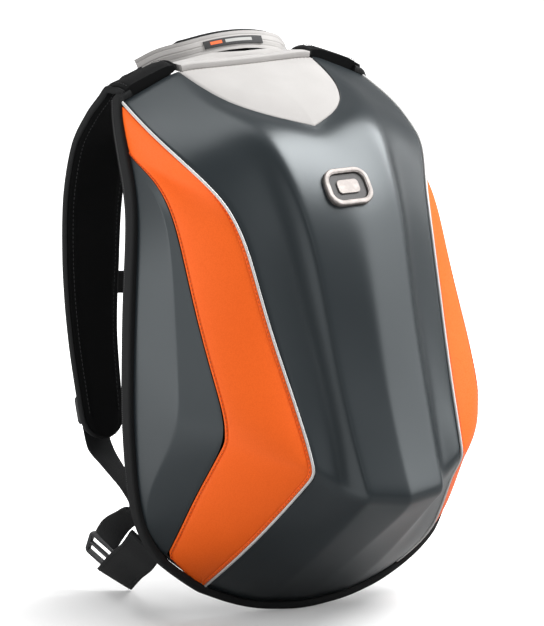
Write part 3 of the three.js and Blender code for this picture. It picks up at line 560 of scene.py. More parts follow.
# The moulded sides.
# The same plastic in two smaller shells, each with a broad face near the binding that folds towards the
# stripe along one crease, and comes to a point at both ends.
def inset_from_seam(surface, gap):
    """The share across at which a surface clears the seam by a gap, all the way down."""
    downs = np.linspace(0, 1, 160)
    found = first_from(0, lambda across: from_seam(surface.at(downs, across)) < gap, len(downs))
    return lambda down: np.interp(down, downs, found)


side_low, side_high = inset_from_seam(side, SEAM_GAP), inset(side, 1, 0.3 * MM)
side_downs = np.linspace(0.2, 1, 400)
room = side_high(side_downs) - side_low(side_downs) > 0.04
side_from, side_to = side_downs[room][0], side_downs[room][-1]
down, t = np.meshgrid(np.linspace(side_from, side_to, 130), np.linspace(0, 1, 40), indexing="ij")
side_grid = side.at(down, side_low(down) + (side_high(down) - side_low(down)) * t)


SIDES = (("left", 1), ("right", -1))


def pair(name, grid, modifiers, sharp, finish, slot, node):
    """A left piece from a grid of points, and its mirrored right one, for the two nodes of a name."""
    made = []
    for side_name, turn in SIDES:
        points = grid.reshape(-1, 3) * [turn, 1, 1]
        piece = mesh_piece(f"{name}_{side_name}", points, grid_faces(*grid.shape[:2], flip=turn < 0))
        made.append(finish.on(finished(piece, *modifiers, sharp=sharp), slot, f"{node}_{side_name}"))
    return made


pair("side_shell", side_grid, walled(SHELL_WALL, 0.6 * MM), 40, moulded, "shell", "side_panel")


# The stripes.
# Orange coated fabric with a pebbled grain, cut like a boomerang, its edges folded under and stitched down
# close to the fold, so that it is drawn in along the thread and swells a little between.
STRIPE_WALL = 1.76 * MM
HEM = 3.4 * MM
from_side, from_tape = inset(stripe, 0, 0.3 * MM), inset_from_seam(stripe, 1.2 * MM)
stripe_high = inset(stripe, 1, 0.9 * MM)


def stripe_low(down):
    return np.maximum(from_side(down), from_tape(down))


def hemmed(width, across):
    """Relief over a strip of cloth: a rounded fold at the edge, a stitched groove, and a slight swell."""
    edge = np.minimum(across, 1 - across) * width
    fold = 0.55 * MM * np.sin(np.clip(edge / HEM, 0, 1) * np.pi) ** 0.8
    groove = -0.5 * MM * np.exp(-(((edge - HEM) / (0.7 * MM)) ** 2))
    swell = 1.1 * MM * (1 - np.exp(-np.maximum(edge - HEM, 0) / (7 * MM)))
    drop = -1.1 * MM * np.exp(-((edge / (0.45 * MM)) ** 2))
    return fold + groove + swell + drop



def thickened(thickness, offset=-1):
    """A modifier that gives cloth its thickness, inwards or, with no offset, on both sides."""
    return "SOLIDIFY", {"thickness": thickness, "offset": offset}


hem_steps = np.linspace(0, 0.12, 12)
margin = np.concatenate([hem_steps[:-1], np.linspace(0.12, 0.88, 34), 1 - hem_steps[-2::-1]])
down, t = np.meshgrid(np.linspace(0.012, float(last_down[0]), 280), margin, indexing="ij")
stripe_across = stripe_low(down) + np.maximum(stripe_high(down) - stripe_low(down), 0.02) * t
stripe_grid = stripe.at(down, stripe_across)
stripe_width = np.linalg.norm(stripe_grid[:, -1] - stripe_grid[:, 0], axis=1)[:, None]
relief = hemmed(np.maximum(stripe_width, 1 * MM), t) * np.clip(stripe_width / (14 * MM), 0, 1)
stripe_out = stripe.out(down, stripe_across)
stripe_grid = stripe_grid + stripe_out * relief[..., None]

pebbled = Finish("pebbled_orange", Specular_IOR_Level=0.22)
pebble_map = {"Vector": pebbled.place(), "Scale": 760.0, "Randomness": 0.9}
pebble = pebbled.node("ShaderNodeTexVoronoi", {"feature": "F1"}, pebble_map)
wrinkle = pebbled.noise(420, detail=4)
cloud = pebbled.noise(14, detail=3)
shade = (pebble * 0.8 + cloud * 0.5).band(0.1, 1.0)
pebbled.feed("Base Color", pebbled.mix(shade, (0.88, 0.132, 0.01), (0.82, 0.112, 0.007)))
pebbled.feed("Roughness", 0.44 + pebble * 0.2)
pebbled.relief((1 - pebble**2) * 0.8 + wrinkle * 0.5, 0.12 * MM, 0.5)


for cut in pair("stripe", stripe_grid, [thickened(STRIPE_WALL)], 60, pebbled, "stripe", "side_stripe"):
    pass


# The stitching.
# Bonded thread in short sunk stitches: one row beside each long edge of a stripe holds its folded hem down,
# and like rows run on the pale panel, the pads and the webbing.
STITCH, STITCH_GAP, THREAD = 2.6 * MM, 1.3 * MM, 0.32 * MM


def wired(tree, kind, settings, sockets):
    """A node of a tree, its settings first, then its sockets, each a value or another node's output."""
    made = tree.nodes.new(kind)
    for key, value in settings.items():
        setattr(made, key, value)
    for key, value in sockets.items():
        if isinstance(value, bpy.types.NodeSocket):
            tree.links.new(value, made.inputs[key])
        else:
            made.inputs[key].default_value = value
    return made.outputs


def repeat_tree(name, make_item):
    """A tree that sets one item at even steps along a curve, each turned along it."""
    tree = bpy.data.node_groups.new(name, "GeometryNodeTree")
    sizes = {key: "Float" for key in ("Step", "Length", "Thickness")}
    for key, kind in {"Geometry": "Geometry", **sizes, "Finish": "Material"}.items():
        tree.interface.new_socket(name=key, in_out="INPUT", socket_type="NodeSocket" + kind)
    tree.interface.new_socket(name="Geometry", in_out="OUTPUT", socket_type="NodeSocketGeometry")
    given = tree.nodes.new("NodeGroupInput").outputs
    curve = {"Curve": given["Geometry"], "Length": given["Step"]}
    points = wired(tree, "GeometryNodeCurveToPoints", {"mode": "LENGTH"}, curve)
    item = make_item(tree, given)
    laid_out = {"Points": points["Points"], "Rotation": points["Rotation"], "Instance": item}
    copies = wired(tree, "GeometryNodeInstanceOnPoints", {}, laid_out)
    real = wired(tree, "GeometryNodeRealizeInstances", {}, {"Geometry": copies["Instances"]})
    painted = {"Geometry": real["Geometry"], "Material": given["Finish"]}
    paint = wired(tree, "GeometryNodeSetMaterial", {}, painted)
    wired(tree, "NodeGroupOutput", {}, {"Geometry": paint["Geometry"]})
    return tree


def stitch_item(tree, given):
    """A rounded thread as long as Length, with Thickness as its radius."""
    ball = wired(tree, "GeometryNodeMeshUVSphere", {}, {"Segments": 6, "Rings": 5})
    half = wired(tree, "ShaderNodeMath", {"operation": "MULTIPLY"}, {0: given["Length"], 1: 0.5})
    radii = {"X": given["Thickness"], "Y": given["Thickness"], "Z": half[0]}
    size = wired(tree, "ShaderNodeCombineXYZ", {}, radii)
    return wired(tree, "GeometryNodeTransform", {}, {"Geometry": ball["Mesh"], "Scale": size[0]})["Geometry"]


stitch_tree = repeat_tree("stitch_row", stitch_item)


def set_along(name, lines, tree, finish, **sizes):
    """A plain mesh of a tree's items along some lines."""
    curve = bpy.data.curves.new(name + "_line", "CURVE")
    curve.dimensions = "3D"
    for line in lines:
        spline = curve.splines.new("POLY")
        spline.points.add(len(line) - 1)
        spline.points.foreach_set("co", np.c_[line, np.ones(len(line))].astype(np.float32).ravel())
    guide = shown(name + "_line", curve)
    modifier = guide.modifiers.new("row", "NODES")
    modifier.node_group = tree
    given = {**sizes, "Finish": finish.material}
    for socket in tree.interface.items_tree:
        if socket.in_out == "INPUT" and socket.name in given:
            modifier[socket.identifier] = given[socket.name]
    mesh = bpy.data.meshes.new_from_object(guide.evaluated_get(bpy.context.evaluated_depsgraph_get()))
    mesh.name = name
    bpy.data.objects.remove(guide)
    mesh.shade_smooth()
    return shown(name, mesh)


def stitched(name, lines, finish, slot, both=True):
    """Rows of stitches along lines of the left side, and along their mirrored ones."""
    lines = [np.asarray(line) for line in lines]
    lines += [mirrored(line) for line in lines] if both else []
    sizes = {"Step": STITCH + STITCH_GAP, "Length": STITCH, "Thickness": THREAD}
    row = set_along(name, lines, stitch_tree, finish, **sizes)
    return finish.on(row, slot)


def at_distance(grid, surface_out, distance, edge, lift):
    """The line on a grid that runs a distance inside one of its long edges, lifted off it."""
    rows = []

    def met(at, run, part):
        return np.array([np.interp(at, run, part[:, k]) for k in range(3)])

    for row, normal in zip(grid, surface_out):
        run = run_along(row)
        at = distance if edge == 0 else run[-1] - distance
        rows.append(met(at, run, row) + lift * met(at, run, normal))
    return np.array(rows)


orange_thread = Finish("orange_thread", Roughness=0.6, Base_Color=(0.36, 0.04, 0.008))
wide_enough = stripe_width[:, 0] > 4 * HEM
stitch_lines = [
    at_distance(stripe_grid[wide_enough], stripe_out[wide_enough], HEM, edge, 0.12 * MM) for edge in (0, 1)
]
stitched("stripe_stitches", stitch_lines, orange_thread, "stripe")


# The piping.
# A silver cord wrapped in reflective woven tape, caught in the seam between the shell and each stripe, from
# the binding at the top to the binding at the foot.
PIPING_RADIUS = 1.35 * MM


def carried(path, guides):
    """Frames along a path: a sideways direction near the guides, and the one square to it and to the path."""
    along = np.gradient(path, axis=0)
    along /= np.linalg.norm(along, axis=1, keepdims=True)
    wide = guides - along * (guides * along).sum(1, keepdims=True)
    wide /= np.linalg.norm(wide, axis=1, keepdims=True)
    return wide, np.cross(wide, along)


def tube_faces(rings, count, closed=False):
    """Faces round a row of rings of count points each, with a cap at both ends unless the row is closed."""
    i, j = np.meshgrid(np.arange(rings if closed else rings - 1), np.arange(count), indexing="ij")
    here, beside = i * count + j, i * count + (j + 1) % count
    after, after_beside = (i + 1) % rings * count + j, (i + 1) % rings * count + (j + 1) % count
    faces = np.stack([here, beside, after_beside, after], -1).reshape(-1, 4).tolist()
    if not closed:
        faces += [list(range(count))[::-1], list(range((rings - 1) * count, rings * count))]
    return faces


def swept(name, path, guides, section):
    """A skin through copies of a section [wide, face], or through one for each point, mapped in metres."""
    wide, face = carried(path, np.broadcast_to(guides, path.shape))
    shape = np.broadcast_to(section, (len(path), *np.shape(section)[-2:]))
    rings = path[:, None] + wide[:, None] * shape[..., :1] + face[:, None] * shape[..., 1:]
    n, k = rings.shape[:2]
    around = np.cumsum(np.linalg.norm(np.diff(rings, axis=1), axis=2), axis=1)
    around = np.concatenate([np.zeros((n, 1)), around], 1)
    uvs = np.stack([np.broadcast_to(run_along(path)[:, None], (n, k)), around], -1).reshape(-1, 2)
    return facing_out(mesh_piece(name, rings.reshape(-1, 3), tube_faces(n, k), uvs))


def ring_section(radius, count, squash=1.0):
    """A round section, or an oval one."""
    angle = np.arange(count) / count * 2 * np.pi
    return np.stack([np.cos(angle) * radius, np.sin(angle) * radius * squash], 1)


def facing_out(piece):
    """The piece, a closed one, with its faces turned outwards as a whole."""
    mesh = piece.data
    mesh.calc_loop_triangles()
    co = np.array([v.co for v in mesh.vertices])
    co -= co.mean(0)
    a, b, c = (co[[t.vertices[k] for t in mesh.loop_triangles]] for k in range(3))
    if (a * np.cross(b, c)).sum() < 0:
        mesh.flip_normals()
    return piece


def swept_pair(name, path, guide, section, finish, slot, node=None):
    """A swept piece of the left side and its mirrored right one."""
    made = []
    for side_name, turn in SIDES:
        aside = np.array([turn, 1, 1])
        piece = finished(swept(f"{name}_{side_name}", path * aside, guide * aside, section), sharp=60)
        made.append(finish.on(piece, slot, *([f"{node}_{side_name}"] if node else [])))
    return made


piping_downs = np.linspace(float(first_down[0]), float(last_down[0]), 220)
piping_line = front.at(piping_downs, 0)
piping_guide = front.out(piping_downs, 0.0) + stripe.out(piping_downs, 1.0)
reflective = Finish("reflective_tape", Metallic=0.25)
glint = reflective.waves(0, 0.55 * MM) * reflective.waves(1, 0.55 * MM)
reflective.feed("Base Color", reflective.mix(glint.band(-1, 1), (0.42, 0.42, 0.42), (0.6, 0.6, 0.59)))
reflective.feed("Roughness", 0.33 + reflective.noise(400) * 0.2)
reflective.relief(glint, 0.06 * MM, 0.5)
piping_section = ring_section(PIPING_RADIUS, 14)
swept_pair("piping_cord", piping_line, piping_guide, piping_section, reflective, "reflective", "piping")


# The pale top panel and its trim.
# A shield of tightly woven pale cloth over foam, laid flush into the shell's notch. A strip of the same
# cloth is folded along its upper edge and stitched down.
PANEL_DROP = 0.5 * MM
panel_steps = np.linspace(0, notch_end * 0.9985, 60)
panel_line = across_front(downs, np.maximum(notch_half(downs) - SHELL_GAP, 0.2 * MM))


def panel_outer_edge(down):
    return np.interp(down, downs, panel_line)


def middle_edge(down):
    return np.full_like(down, 0.5)


down, across = front_half(panel_steps, np.linspace(0, 1, 40), middle_edge, panel_outer_edge)
panel_out = front.out(down, across)
panel_left = front.at(down, across) - panel_out * PANEL_DROP
from_line = np.linalg.norm(panel_left - panel_left[:, :1], axis=2)
from_top = np.linalg.norm(panel_left - panel_left[:1], axis=2)
edge_run = np.minimum(from_line, from_top)
ripple = 0.35 * MM * np.sin(panel_left[..., 1] * 95 + panel_left[..., 0] * 40)
ripple *= np.clip(edge_run / (20 * MM), 0, 1)
puff = 0.9 * MM * (1 - np.exp(-edge_run / (6 * MM))) - 0.7 * MM * np.exp(-((edge_run / (0.8 * MM)) ** 2))
panel_left = scooped(panel_left, panel_out, 16 * MM) + panel_out * (puff + ripple)[..., None]
panel_grid = np.concatenate([panel_left, mirrored(panel_left[:, -2::-1])], 1)


def cloth_piece(name, grid):
    """A piece over a grid of points, with a map that lies straight as seen from the front and above."""
    uvs = np.stack([grid[..., 0], grid[..., 1] + grid[..., 2]], -1).reshape(-1, 2)
    return mesh_piece(name, grid.reshape(-1, 3), grid_faces(*grid.shape[:2]), uvs)


panel = cloth_piece("top_cloth", panel_grid)
finished(panel, thickened(1.8 * MM), sharp=60)

woven = Finish("pale_weave", Sheen_Weight=0.25)
warp, weft = woven.waves(0, 0.9 * MM), woven.waves(1, 0.9 * MM)
cloth_height = abs(warp * weft) * 0.6 + woven.noise(1400) * 0.4
pale_cloud = woven.noise(30, detail=4)
weave_shade = (pale_cloud * 0.6 + cloth_height * 0.4).band(0.2, 0.8)
woven.feed("Base Color", woven.mix(weave_shade, (0.31, 0.297, 0.287), (0.37, 0.357, 0.347)))
woven.feed("Roughness", 0.68 + pale_cloud * 0.15)
woven.relief(cloth_height, 0.1 * MM, 0.45)
woven.on(panel, "pale", "top_panel")

# The seam's frames: outwards from the wearer's back in its own plane, and straight back.
seam_along = np.roll(seam_loop, -1, 0) - np.roll(seam_loop, 1, 0)
seam_along /= np.linalg.norm(seam_along, axis=1, keepdims=True)
seam_back = np.array([0, 1, 0]) - seam_along * seam_along[:, 1:2]
seam_back /= np.linalg.norm(seam_back, axis=1, keepdims=True)
seam_out = np.cross(seam_back, seam_along)


TOP_EDGE = 0.44  # metres above the foot from which the seam counts as the top edge


def over_top(reach):
    """Which points of the seam's line lie on the top edge, within a reach of the middle."""
    return (seam_loop[:, 2] > TOP_EDGE + foot[2]) & (np.abs(seam_loop[:, 0]) < reach)


def rounded(low, high, radius, steps=4):
    """A rounded rectangle's outline, between two opposite corners."""
    (left, bottom), (right, top) = np.add(low, radius), np.subtract(high, radius)
    made = []
    for x, y, start in ((right, top, 0), (left, top, 90), (left, bottom, 180), (right, bottom, 270)):
        for a in np.radians(start + np.linspace(0, 90, steps)):
            made.append((x + math.cos(a) * radius, y + math.sin(a) * radius))
    return np.array(made)


from_foot = (np.arange(len(seam_loop)) + len(seam_loop) // 2) % len(seam_loop)
trim_at = from_foot[over_top(71.5 * MM)[from_foot]]
trim_section = rounded((-3 * MM, -5.6 * MM), (3.4 * MM, 5.8 * MM), 1.5 * MM)
trim_line = seam_loop[trim_at]
trim = swept("top_strip", trim_line, seam_out[trim_at], trim_section)
woven.on(finished(trim, sharp=50), "pale", "top_trim")
pale_thread = Finish("pale_thread", Roughness=0.6, Base_Color=(0.55, 0.53, 0.5))
down_rows, down_out = panel_left.transpose(1, 0, 2), panel_out.transpose(1, 0, 2)
rim_line = at_distance(down_rows, down_out, 2.2 * MM, 0, 0.15 * MM)
rim_line = np.concatenate([rim_line, mirrored(rim_line[-2::-1])])
stitched("panel_stitches", [rim_line], pale_thread, "pale", both=False)


# The binding.
# Black ribbed tape folded over the raw edges all round the seam and sewn through, from one strap root down
# round the foot to the other.
BINDING_OUT, BINDING_IN, BINDING_HALF = 4.2 * MM, 2.9 * MM, 6 * MM
ribbed = Finish("ribbed_tape", Specular_IOR_Level=0.25)
rib = ribbed.waves(0, 1.1 * MM)
fuzz = ribbed.noise(900, detail=3)
ribbed.feed("Base Color", ribbed.mix(fuzz, (0.003, 0.0032, 0.0035), (0.01, 0.0106, 0.0112)))
ribbed.feed("Roughness", 0.7 + fuzz * 0.2)
ribbed.relief(rib * 0.6 + fuzz * 0.8, 0.14 * MM, 0.7)
bind_at = np.nonzero(~over_top(118 * MM))[0]
bind_section = rounded((-BINDING_IN, -BINDING_HALF), (BINDING_OUT, BINDING_HALF), 2.4 * MM, 5)
binding = swept("edge_binding", seam_loop[bind_at], seam_out[bind_at], bind_section)
ribbed.on(finished(binding, sharp=60), "black", "binding")


# The zip.
# A closed coil zip is sewn into the seam behind the binding: two woven tapes, and a row of moulded teeth
# over their joint.
ZIP_BACK, ZIP_OUT = 10.2 * MM, -1.9 * MM
zip_line = seam_loop[bind_at] + seam_back[bind_at] * ZIP_BACK + seam_out[bind_at] * ZIP_OUT
tape_half = [(-1.2, -4), (0.3, -4), (0.6, -1.6), (0.3, -0.4)]
tape_section = np.array([*tape_half, *[(out, -wide) for out, wide in tape_half[::-1]]]) * MM
zip_tape = swept("zip_tape", zip_line, seam_out[bind_at], tape_section)
ribbed.on(finished(zip_tape, sharp=50), "black", "zip")


def tooth_item(tree, given):
    """A rounded bar across the tapes, Length wide and Thickness high."""
    bar = wired(tree, "GeometryNodeMeshCylinder", {}, {"Vertices": 6, "Radius": 1.0, "Depth": 1.0})
    radii = {"X": given["Thickness"], "Y": given["Thickness"], "Z": given["Length"]}
    size = wired(tree, "ShaderNodeCombineXYZ", {}, radii)
    turned = {"Geometry": bar["Mesh"], "Rotation": (0, math.pi / 2, 0), "Scale": size[0]}
    return wired(tree, "GeometryNodeTransform", {}, turned)["Geometry"]


coil = Finish("zip_coil", Base_Color=(0.012, 0.012, 0.013))
coil.feed("Roughness", 0.3 + coil.noise(1200) * 0.2)
tooth_tree = repeat_tree("zip_teeth", tooth_item)
tooth_line = zip_line + seam_out[bind_at] * 0.5 * MM
tooth = {"Step": 1.7 * MM, "Length": 4.4 * MM, "Thickness": 0.55 * MM}
coil.on(set_along("zip_coil", [tooth_line], tooth_tree, coil, **tooth), "black")


# The back.
# A firm board covered in black mesh cloth lies inside the seam. Eight foam pads in the same cloth are sewn
# on it in two columns, with a channel between for air.
BOARD_INSET, BOARD_SPACING, BOARD_FRONT = 4.1 * MM, 2.9 * MM, 3 * MM
half = len(seam_loop) // 2
board_edge = seam_loop[1:half] - seam_out[1:half] * BOARD_INSET
board_keep = [0]
for i in range(1, len(board_edge)):
    if np.linalg.norm(board_edge[i] - board_edge[board_keep[-1]]) > BOARD_SPACING:
        board_keep.append(i)
board_edge = board_edge[board_keep]
PAD_THICK, PAD_FLOOR = 14 * MM, 0.38
edge_x, edge_y, edge_z = board_edge.T
thick = PAD_THICK * np.minimum(1, 0.35 + np.abs(edge_x) / (WIDTH / 2))
BOARD_PROFILE = [
    # share of the way out from the middle, and share of the thickness behind the seam
    [1, 0.02], [0.985, 0.16], [0.95, 0.3], [0.8, 0.4],
    [0.6, 0.4], [0.4, 0.4], [0.2, PAD_FLOOR], [0, PAD_FLOOR],
]
profile = [board_edge - [0, BOARD_FRONT, 0]]
for share, depth in BOARD_PROFILE:
    profile.append(np.stack([edge_x * share, edge_y + depth * thick, edge_z], 1))
board_left = np.stack(profile, 1)
board = np.concatenate([board_left, mirrored(board_left[:, -2::-1])], 1)
back_board = mesh_piece("back_board", board.reshape(-1, 3), grid_faces(*board.shape[:2], flip=True))
mesh_cloth = Finish("mesh_cloth", Specular_IOR_Level=0.25)
cell_map = {"Vector": mesh_cloth.place(), "Scale": 430.0, "Randomness": 1.0}
hole = mesh_cloth.node("ShaderNodeTexVoronoi", {"feature": "F1"}, cell_map).band(0.18, 0.42)
mesh_cloth.feed("Base Color", mesh_cloth.mix(hole, (0.005, 0.0052, 0.0056), (0.034, 0.0355, 0.037)))
mesh_cloth.feed("Roughness", 0.75 + mesh_cloth.noise(300) * 0.2)
mesh_cloth.relief(hole, 0.35 * MM, 0.8)
finished(back_board, thickened(2 * MM), sharp=60)
mesh_cloth.on(back_board, "black", "back_panel")


def on_back(x, z, depth):
    """A point on the wearer's side of the board, at a height and a distance from the middle."""
    rise = (z - foot[2]) / HEIGHT
    thick = PAD_THICK * np.minimum(1, 0.35 + np.abs(x) / (WIDTH / 2) * 1.25)
    return np.stack([x, lean(rise) * SWEEP + foot[1] + PAD_FLOOR * thick + depth, z], -1)


BACK_PADS = [
    # middle's rise, height, inner and outer distance from the middle as shares of half the width
    [0.845, 0.15, 0.14, 0.6],
    [0.64, 0.19, 0.14, 0.74],
    [0.43, 0.17, 0.14, 0.8],
    [0.225, 0.18, 0.16, 0.76],
]
SWELL, SWELL_LIMIT = 4.6 * MM, 4.5 * MM
u, v = np.meshgrid(np.linspace(-1, 1, 34), np.linspace(-1, 1, 30), indexing="ij")
disc_u, disc_v = u * np.sqrt(1 - 0.32 * v**4), v * np.sqrt(1 - 0.32 * u**4)
far = np.maximum(np.abs(u), np.abs(v))
index = np.arange(u.size).reshape(u.shape)
rim = np.concatenate([index[0, :-1], index[:-1, -1], index[-1, :0:-1], index[:0:-1, 0]])
pad_points, pad_faces = [], []
for rise, tall, inner, outer in BACK_PADS:
    x = -(inner + outer) / 2 * WIDTH / 2 + disc_u * (outer - inner) / 2 * WIDTH / 2
    z = foot[2] + rise * HEIGHT + disc_v * tall / 2 * HEIGHT
    top, base = on_back(x, z, SWELL * (1 - far**6)), on_back(x, z, -0.8 * MM)
    for _, turn in SIDES:
        start = 2 * u.size * len(pad_points)
        pad_points.append(np.concatenate([top.reshape(-1, 3), base.reshape(-1, 3)]) * [turn, 1, 1])
        a, b = start + rim, start + np.roll(rim, -1)
        covers = [grid_faces(*u.shape, start, flip=True), grid_faces(*u.shape, start + u.size)]
        faces = np.concatenate([*covers, np.stack([a, b, b + u.size, a + u.size], 1)])
        pad_faces.append(faces if turn > 0 else faces[:, ::-1])
pad_points = np.concatenate(pad_points)
back_pads = mesh_piece("back_pads", pad_points, np.concatenate(pad_faces))
# Air pressure fills the pads out between their sewn edges, as far as a limit.
sewn = np.tile(np.concatenate([far.ravel() > 0.97, np.ones(u.size, bool)]), 2 * len(BACK_PADS))
group = back_pads.vertex_groups.new(name="sewn")
group.add([int(i) for i in np.nonzero(sewn)[0]], 1.0, "REPLACE")
cloth = back_pads.modifiers.new("cloth", "CLOTH")
cloth.settings.vertex_group_mass = "sewn"
cloth.settings.use_pressure, cloth.settings.uniform_pressure_force = True, 4
cloth.settings.effector_weights.gravity = 0
cloth.settings.quality = 5
cloth.point_cache.frame_start, cloth.point_cache.frame_end = 1, 16
for step in range(1, 17):
    bpy.context.scene.frame_set(step)
evaluated = back_pads.evaluated_get(bpy.context.evaluated_depsgraph_get())
moved = np.array([v.co for v in evaluated.to_mesh().vertices]) - pad_points
evaluated.to_mesh_clear()
back_pads.modifiers.clear()
back_pads.vertex_groups.clear()
bpy.context.scene.frame_set(1)
moved *= np.minimum(1, SWELL_LIMIT / np.maximum(np.linalg.norm(moved, axis=1, keepdims=True), 1e-9))
for vertex, point in zip(back_pads.data.vertices, pad_points + moved):
    vertex.co = point
finished(facing_out(back_pads), ("SUBSURF", {"levels": 1, "render_levels": 1}), sharp=70)
mesh_cloth.on(back_pads, "black", "back_panel")


# The grab handle.
# A band of the pale cloth, folded lengthwise over a soft core with two rows of seams, arches from one strap
# root to the other. A padded black layer lies behind it, a pale skirt joins it to the trim but for a slit in
# the middle, and a woven label is sewn on its front.
HANDLE_PATH = [
    # share of the half length, behind and above the shell's top edge in mm
    [-1, 41, -7], [-0.82, 29.8, 2.5], [-0.56, 15.5, 9.5], [-0.28, 9.5, 14], [0, 7.5, 15.5],
    [0.28, 9.5, 14], [0.56, 15.5, 9.5], [0.82, 29.8, 2.5], [1, 41, -7],
]
HANDLE_HALF_LENGTH, HANDLE_HALF_WIDTH = 80 * MM, 8.5 * MM
handle_stations = [
    [share * HANDLE_HALF_LENGTH, SWEEP + behind * MM + foot[1], HEIGHT + above * MM + foot[2], 0, 0.5, 0.866]
    for share, behind, above in HANDLE_PATH
]


def flowing(stations, count, low=0.0, high=1.0):
    """Even steps along a centripetal curve through stations, with their other columns blended between."""
    stations = np.array(stations, float)
    points = stations[:, :3]
    ends = np.vstack([2 * points[0] - points[1], points, 2 * points[-1] - points[-2]])
    u = np.linspace(low, high, count) * (len(points) - 1)
    i = np.minimum(u.astype(int), len(points) - 2)
    t = (u - i)[:, None]
    p = [ends[i + k] for k in range(4)]
    knots = [np.zeros((count, 1))]
    for k in range(3):
        knots.append(knots[-1] + np.linalg.norm(p[k + 1] - p[k], axis=1, keepdims=True) ** 0.5)
    at = knots[1] + (knots[2] - knots[1]) * t
    for reach, left in ((1, 0), (2, 0), (1, 1)):
        spans = [(knots[k + left], knots[k + left + reach]) for k in range(len(p) - 1)]
        p = [((b - at) * p[k] + (at - a) * p[k + 1]) / (b - a) for k, (a, b) in enumerate(spans)]
    rest = stations[i, 3:] + (stations[i + 1, 3:] - stations[i, 3:]) * t
    return p[0], rest


def handle_layer(name, section, steps, low=0.0, high=1.0, offset=0.0, lift=0.0):
    """A layer along part of the handle, some way behind its middle line and above it."""
    path, guide = flowing(handle_stations, steps, low, high)
    wide, face = carried(path, guide)
    return swept(name, path + face * offset + wide * lift, guide, section)


def bridged(first, last, steps, bulge):
    """A grid between two lines, bulging by a vector in the middle."""
    t = np.linspace(0, 1, steps)[None, :, None]
    return first[:, None] * (1 - t) + last[:, None] * t + np.multiply(bulge, np.sin(t * np.pi))


across = np.linspace(-1, 1, 41)
fold_grooves = sum(np.exp(-(((across - c) / 0.05) ** 2)) for c in (-0.62, -0.06, 0.58))
handle_front = -1.7 * MM * (1 - 0.35 * across**4) + 0.55 * MM * fold_grooves - 0.35 * MM * np.cos(across * 5)
handle_back = np.full(len(across), 1.5 * MM)
handle_section = np.concatenate([np.c_[across, handle_front], np.c_[across[::-1], handle_back][2:-2]])
handle = handle_layer("grab_handle", handle_section * [HANDLE_HALF_WIDTH, 1], 120)
woven.on(finished(handle, sharp=60), "pale", "handle")

backing_section = rounded((-HANDLE_HALF_WIDTH, -2.5 * MM), (HANDLE_HALF_WIDTH, 2.5 * MM), 2.3 * MM, 6)
share = np.linspace(0, 1, 100)
taper = np.minimum(1, 0.25 + np.minimum(share, 1 - share) * 7)[:, None, None]
backing = handle_layer("handle_pad", backing_section * taper, 100, 0.14, 0.86, 4.6 * MM, 3.5 * MM)
ribbed.on(finished(backing, sharp=60), "black", "handle_backing")

base_path = flowing(handle_stations, 60, 0.2, 0.8)[0]
base_low = np.tile([0, SWEEP + foot[1] + 7.5 * MM, HEIGHT + foot[2] - 6 * MM], (60, 1))
base_low[:, 0] = base_path[:, 0]
base_grid = bridged(base_path + [0, 9 * MM, -1.5 * MM], base_low, 9, [0, 2.2 * MM, 0])
base = mesh_piece("handle_base", base_grid.reshape(-1, 3), grid_faces(*base_grid.shape[:2]))
ribbed.on(finished(base, thickened(1.6 * MM, 0), sharp=60), "black", "handle_backing")

# The skirt leaves a pointed slit under the handle's middle, a little to the right.
SLIT_SHARE, SLIT_AT, SLIT_REACH = 0.42, 8 * MM, 36 * MM
skirt_path, skirt_guide = flowing(handle_stations, 81, 0.1, 0.9)
handle_low = skirt_path - carried(skirt_path, skirt_guide)[0] * 7.8 * MM
by_x = np.argsort(trim_line[:, 0])
trim_x, trim_y, trim_z = trim_line[by_x].T
trim_back, trim_height = (np.interp(skirt_path[:, 0], trim_x, along_trim) for along_trim in (trim_y, trim_z))
skirt_low = np.c_[skirt_path[:, 0], trim_back + 4 * MM, trim_height + 2.9 * MM]
slit = SLIT_SHARE * np.clip(1 - ((skirt_path[:, :1] - SLIT_AT) / SLIT_REACH) ** 2, 0, 1)
skirt_high = skirt_low + (handle_low - skirt_low) * (1 - slit)
skirt_grid = bridged(skirt_low, skirt_high, 10, [0, -0.35 * MM, 0.7 * MM])
skirt = finished(cloth_piece("handle_skirt", skirt_grid), thickened(1.2 * MM, 0), sharp=60)
woven.on(skirt, "pale", "top_trim")

label_section = rounded((-3.7 * MM, -0.4 * MM), (3.7 * MM, 0.4 * MM), 0.3 * MM, 3)
label = handle_layer("woven_label", label_section, 60, 0.33, 0.67, -2.45 * MM, -0.6 * MM)
tag = Finish("woven_tag")


def stretch_of(run, start, end, edge=0.3 * MM):
    """1 between two places on the label's map and 0 elsewhere."""
    return run.band(start, start + edge) * (1 - run.band(end, end + edge))


u_tag = tag.run(0)
from_edge = tag.node("ShaderNodeMath", {"operation": "PINGPONG"}, [tag.run(1), 8.2 * MM])
inside = stretch_of(from_edge, 2.6 * MM, 5.5 * MM)
orange_bar = stretch_of(u_tag, 6 * MM, 17.5 * MM, 0.4 * MM) * inside
pale_bar = stretch_of(u_tag, 21 * MM, 50 * MM, 0.4 * MM) * inside
ground = tag.mix(orange_bar, (0.012, 0.012, 0.013), (0.75, 0.12, 0.02))
tag.feed("Base Color", tag.mix(pale_bar, ground, (0.35, 0.35, 0.34)))
tag.feed("Roughness", 0.6 + tag.noise(900) * 0.2)
tag.relief(tag.waves(1, 0.45 * MM), 0.05 * MM, 0.5)
tag.on(finished(label, sharp=60), "webbing", "handle_label")


# The badge.
# A cast pewter frame with rounded corners, pressed onto the ridge, round a blank satin plate that stands in
# a recess, whose dark metal is painted shade.
BADGE_RISE, BADGE_LIFT = 0.806, 0.35 * MM
CORNER_STEPS = 8


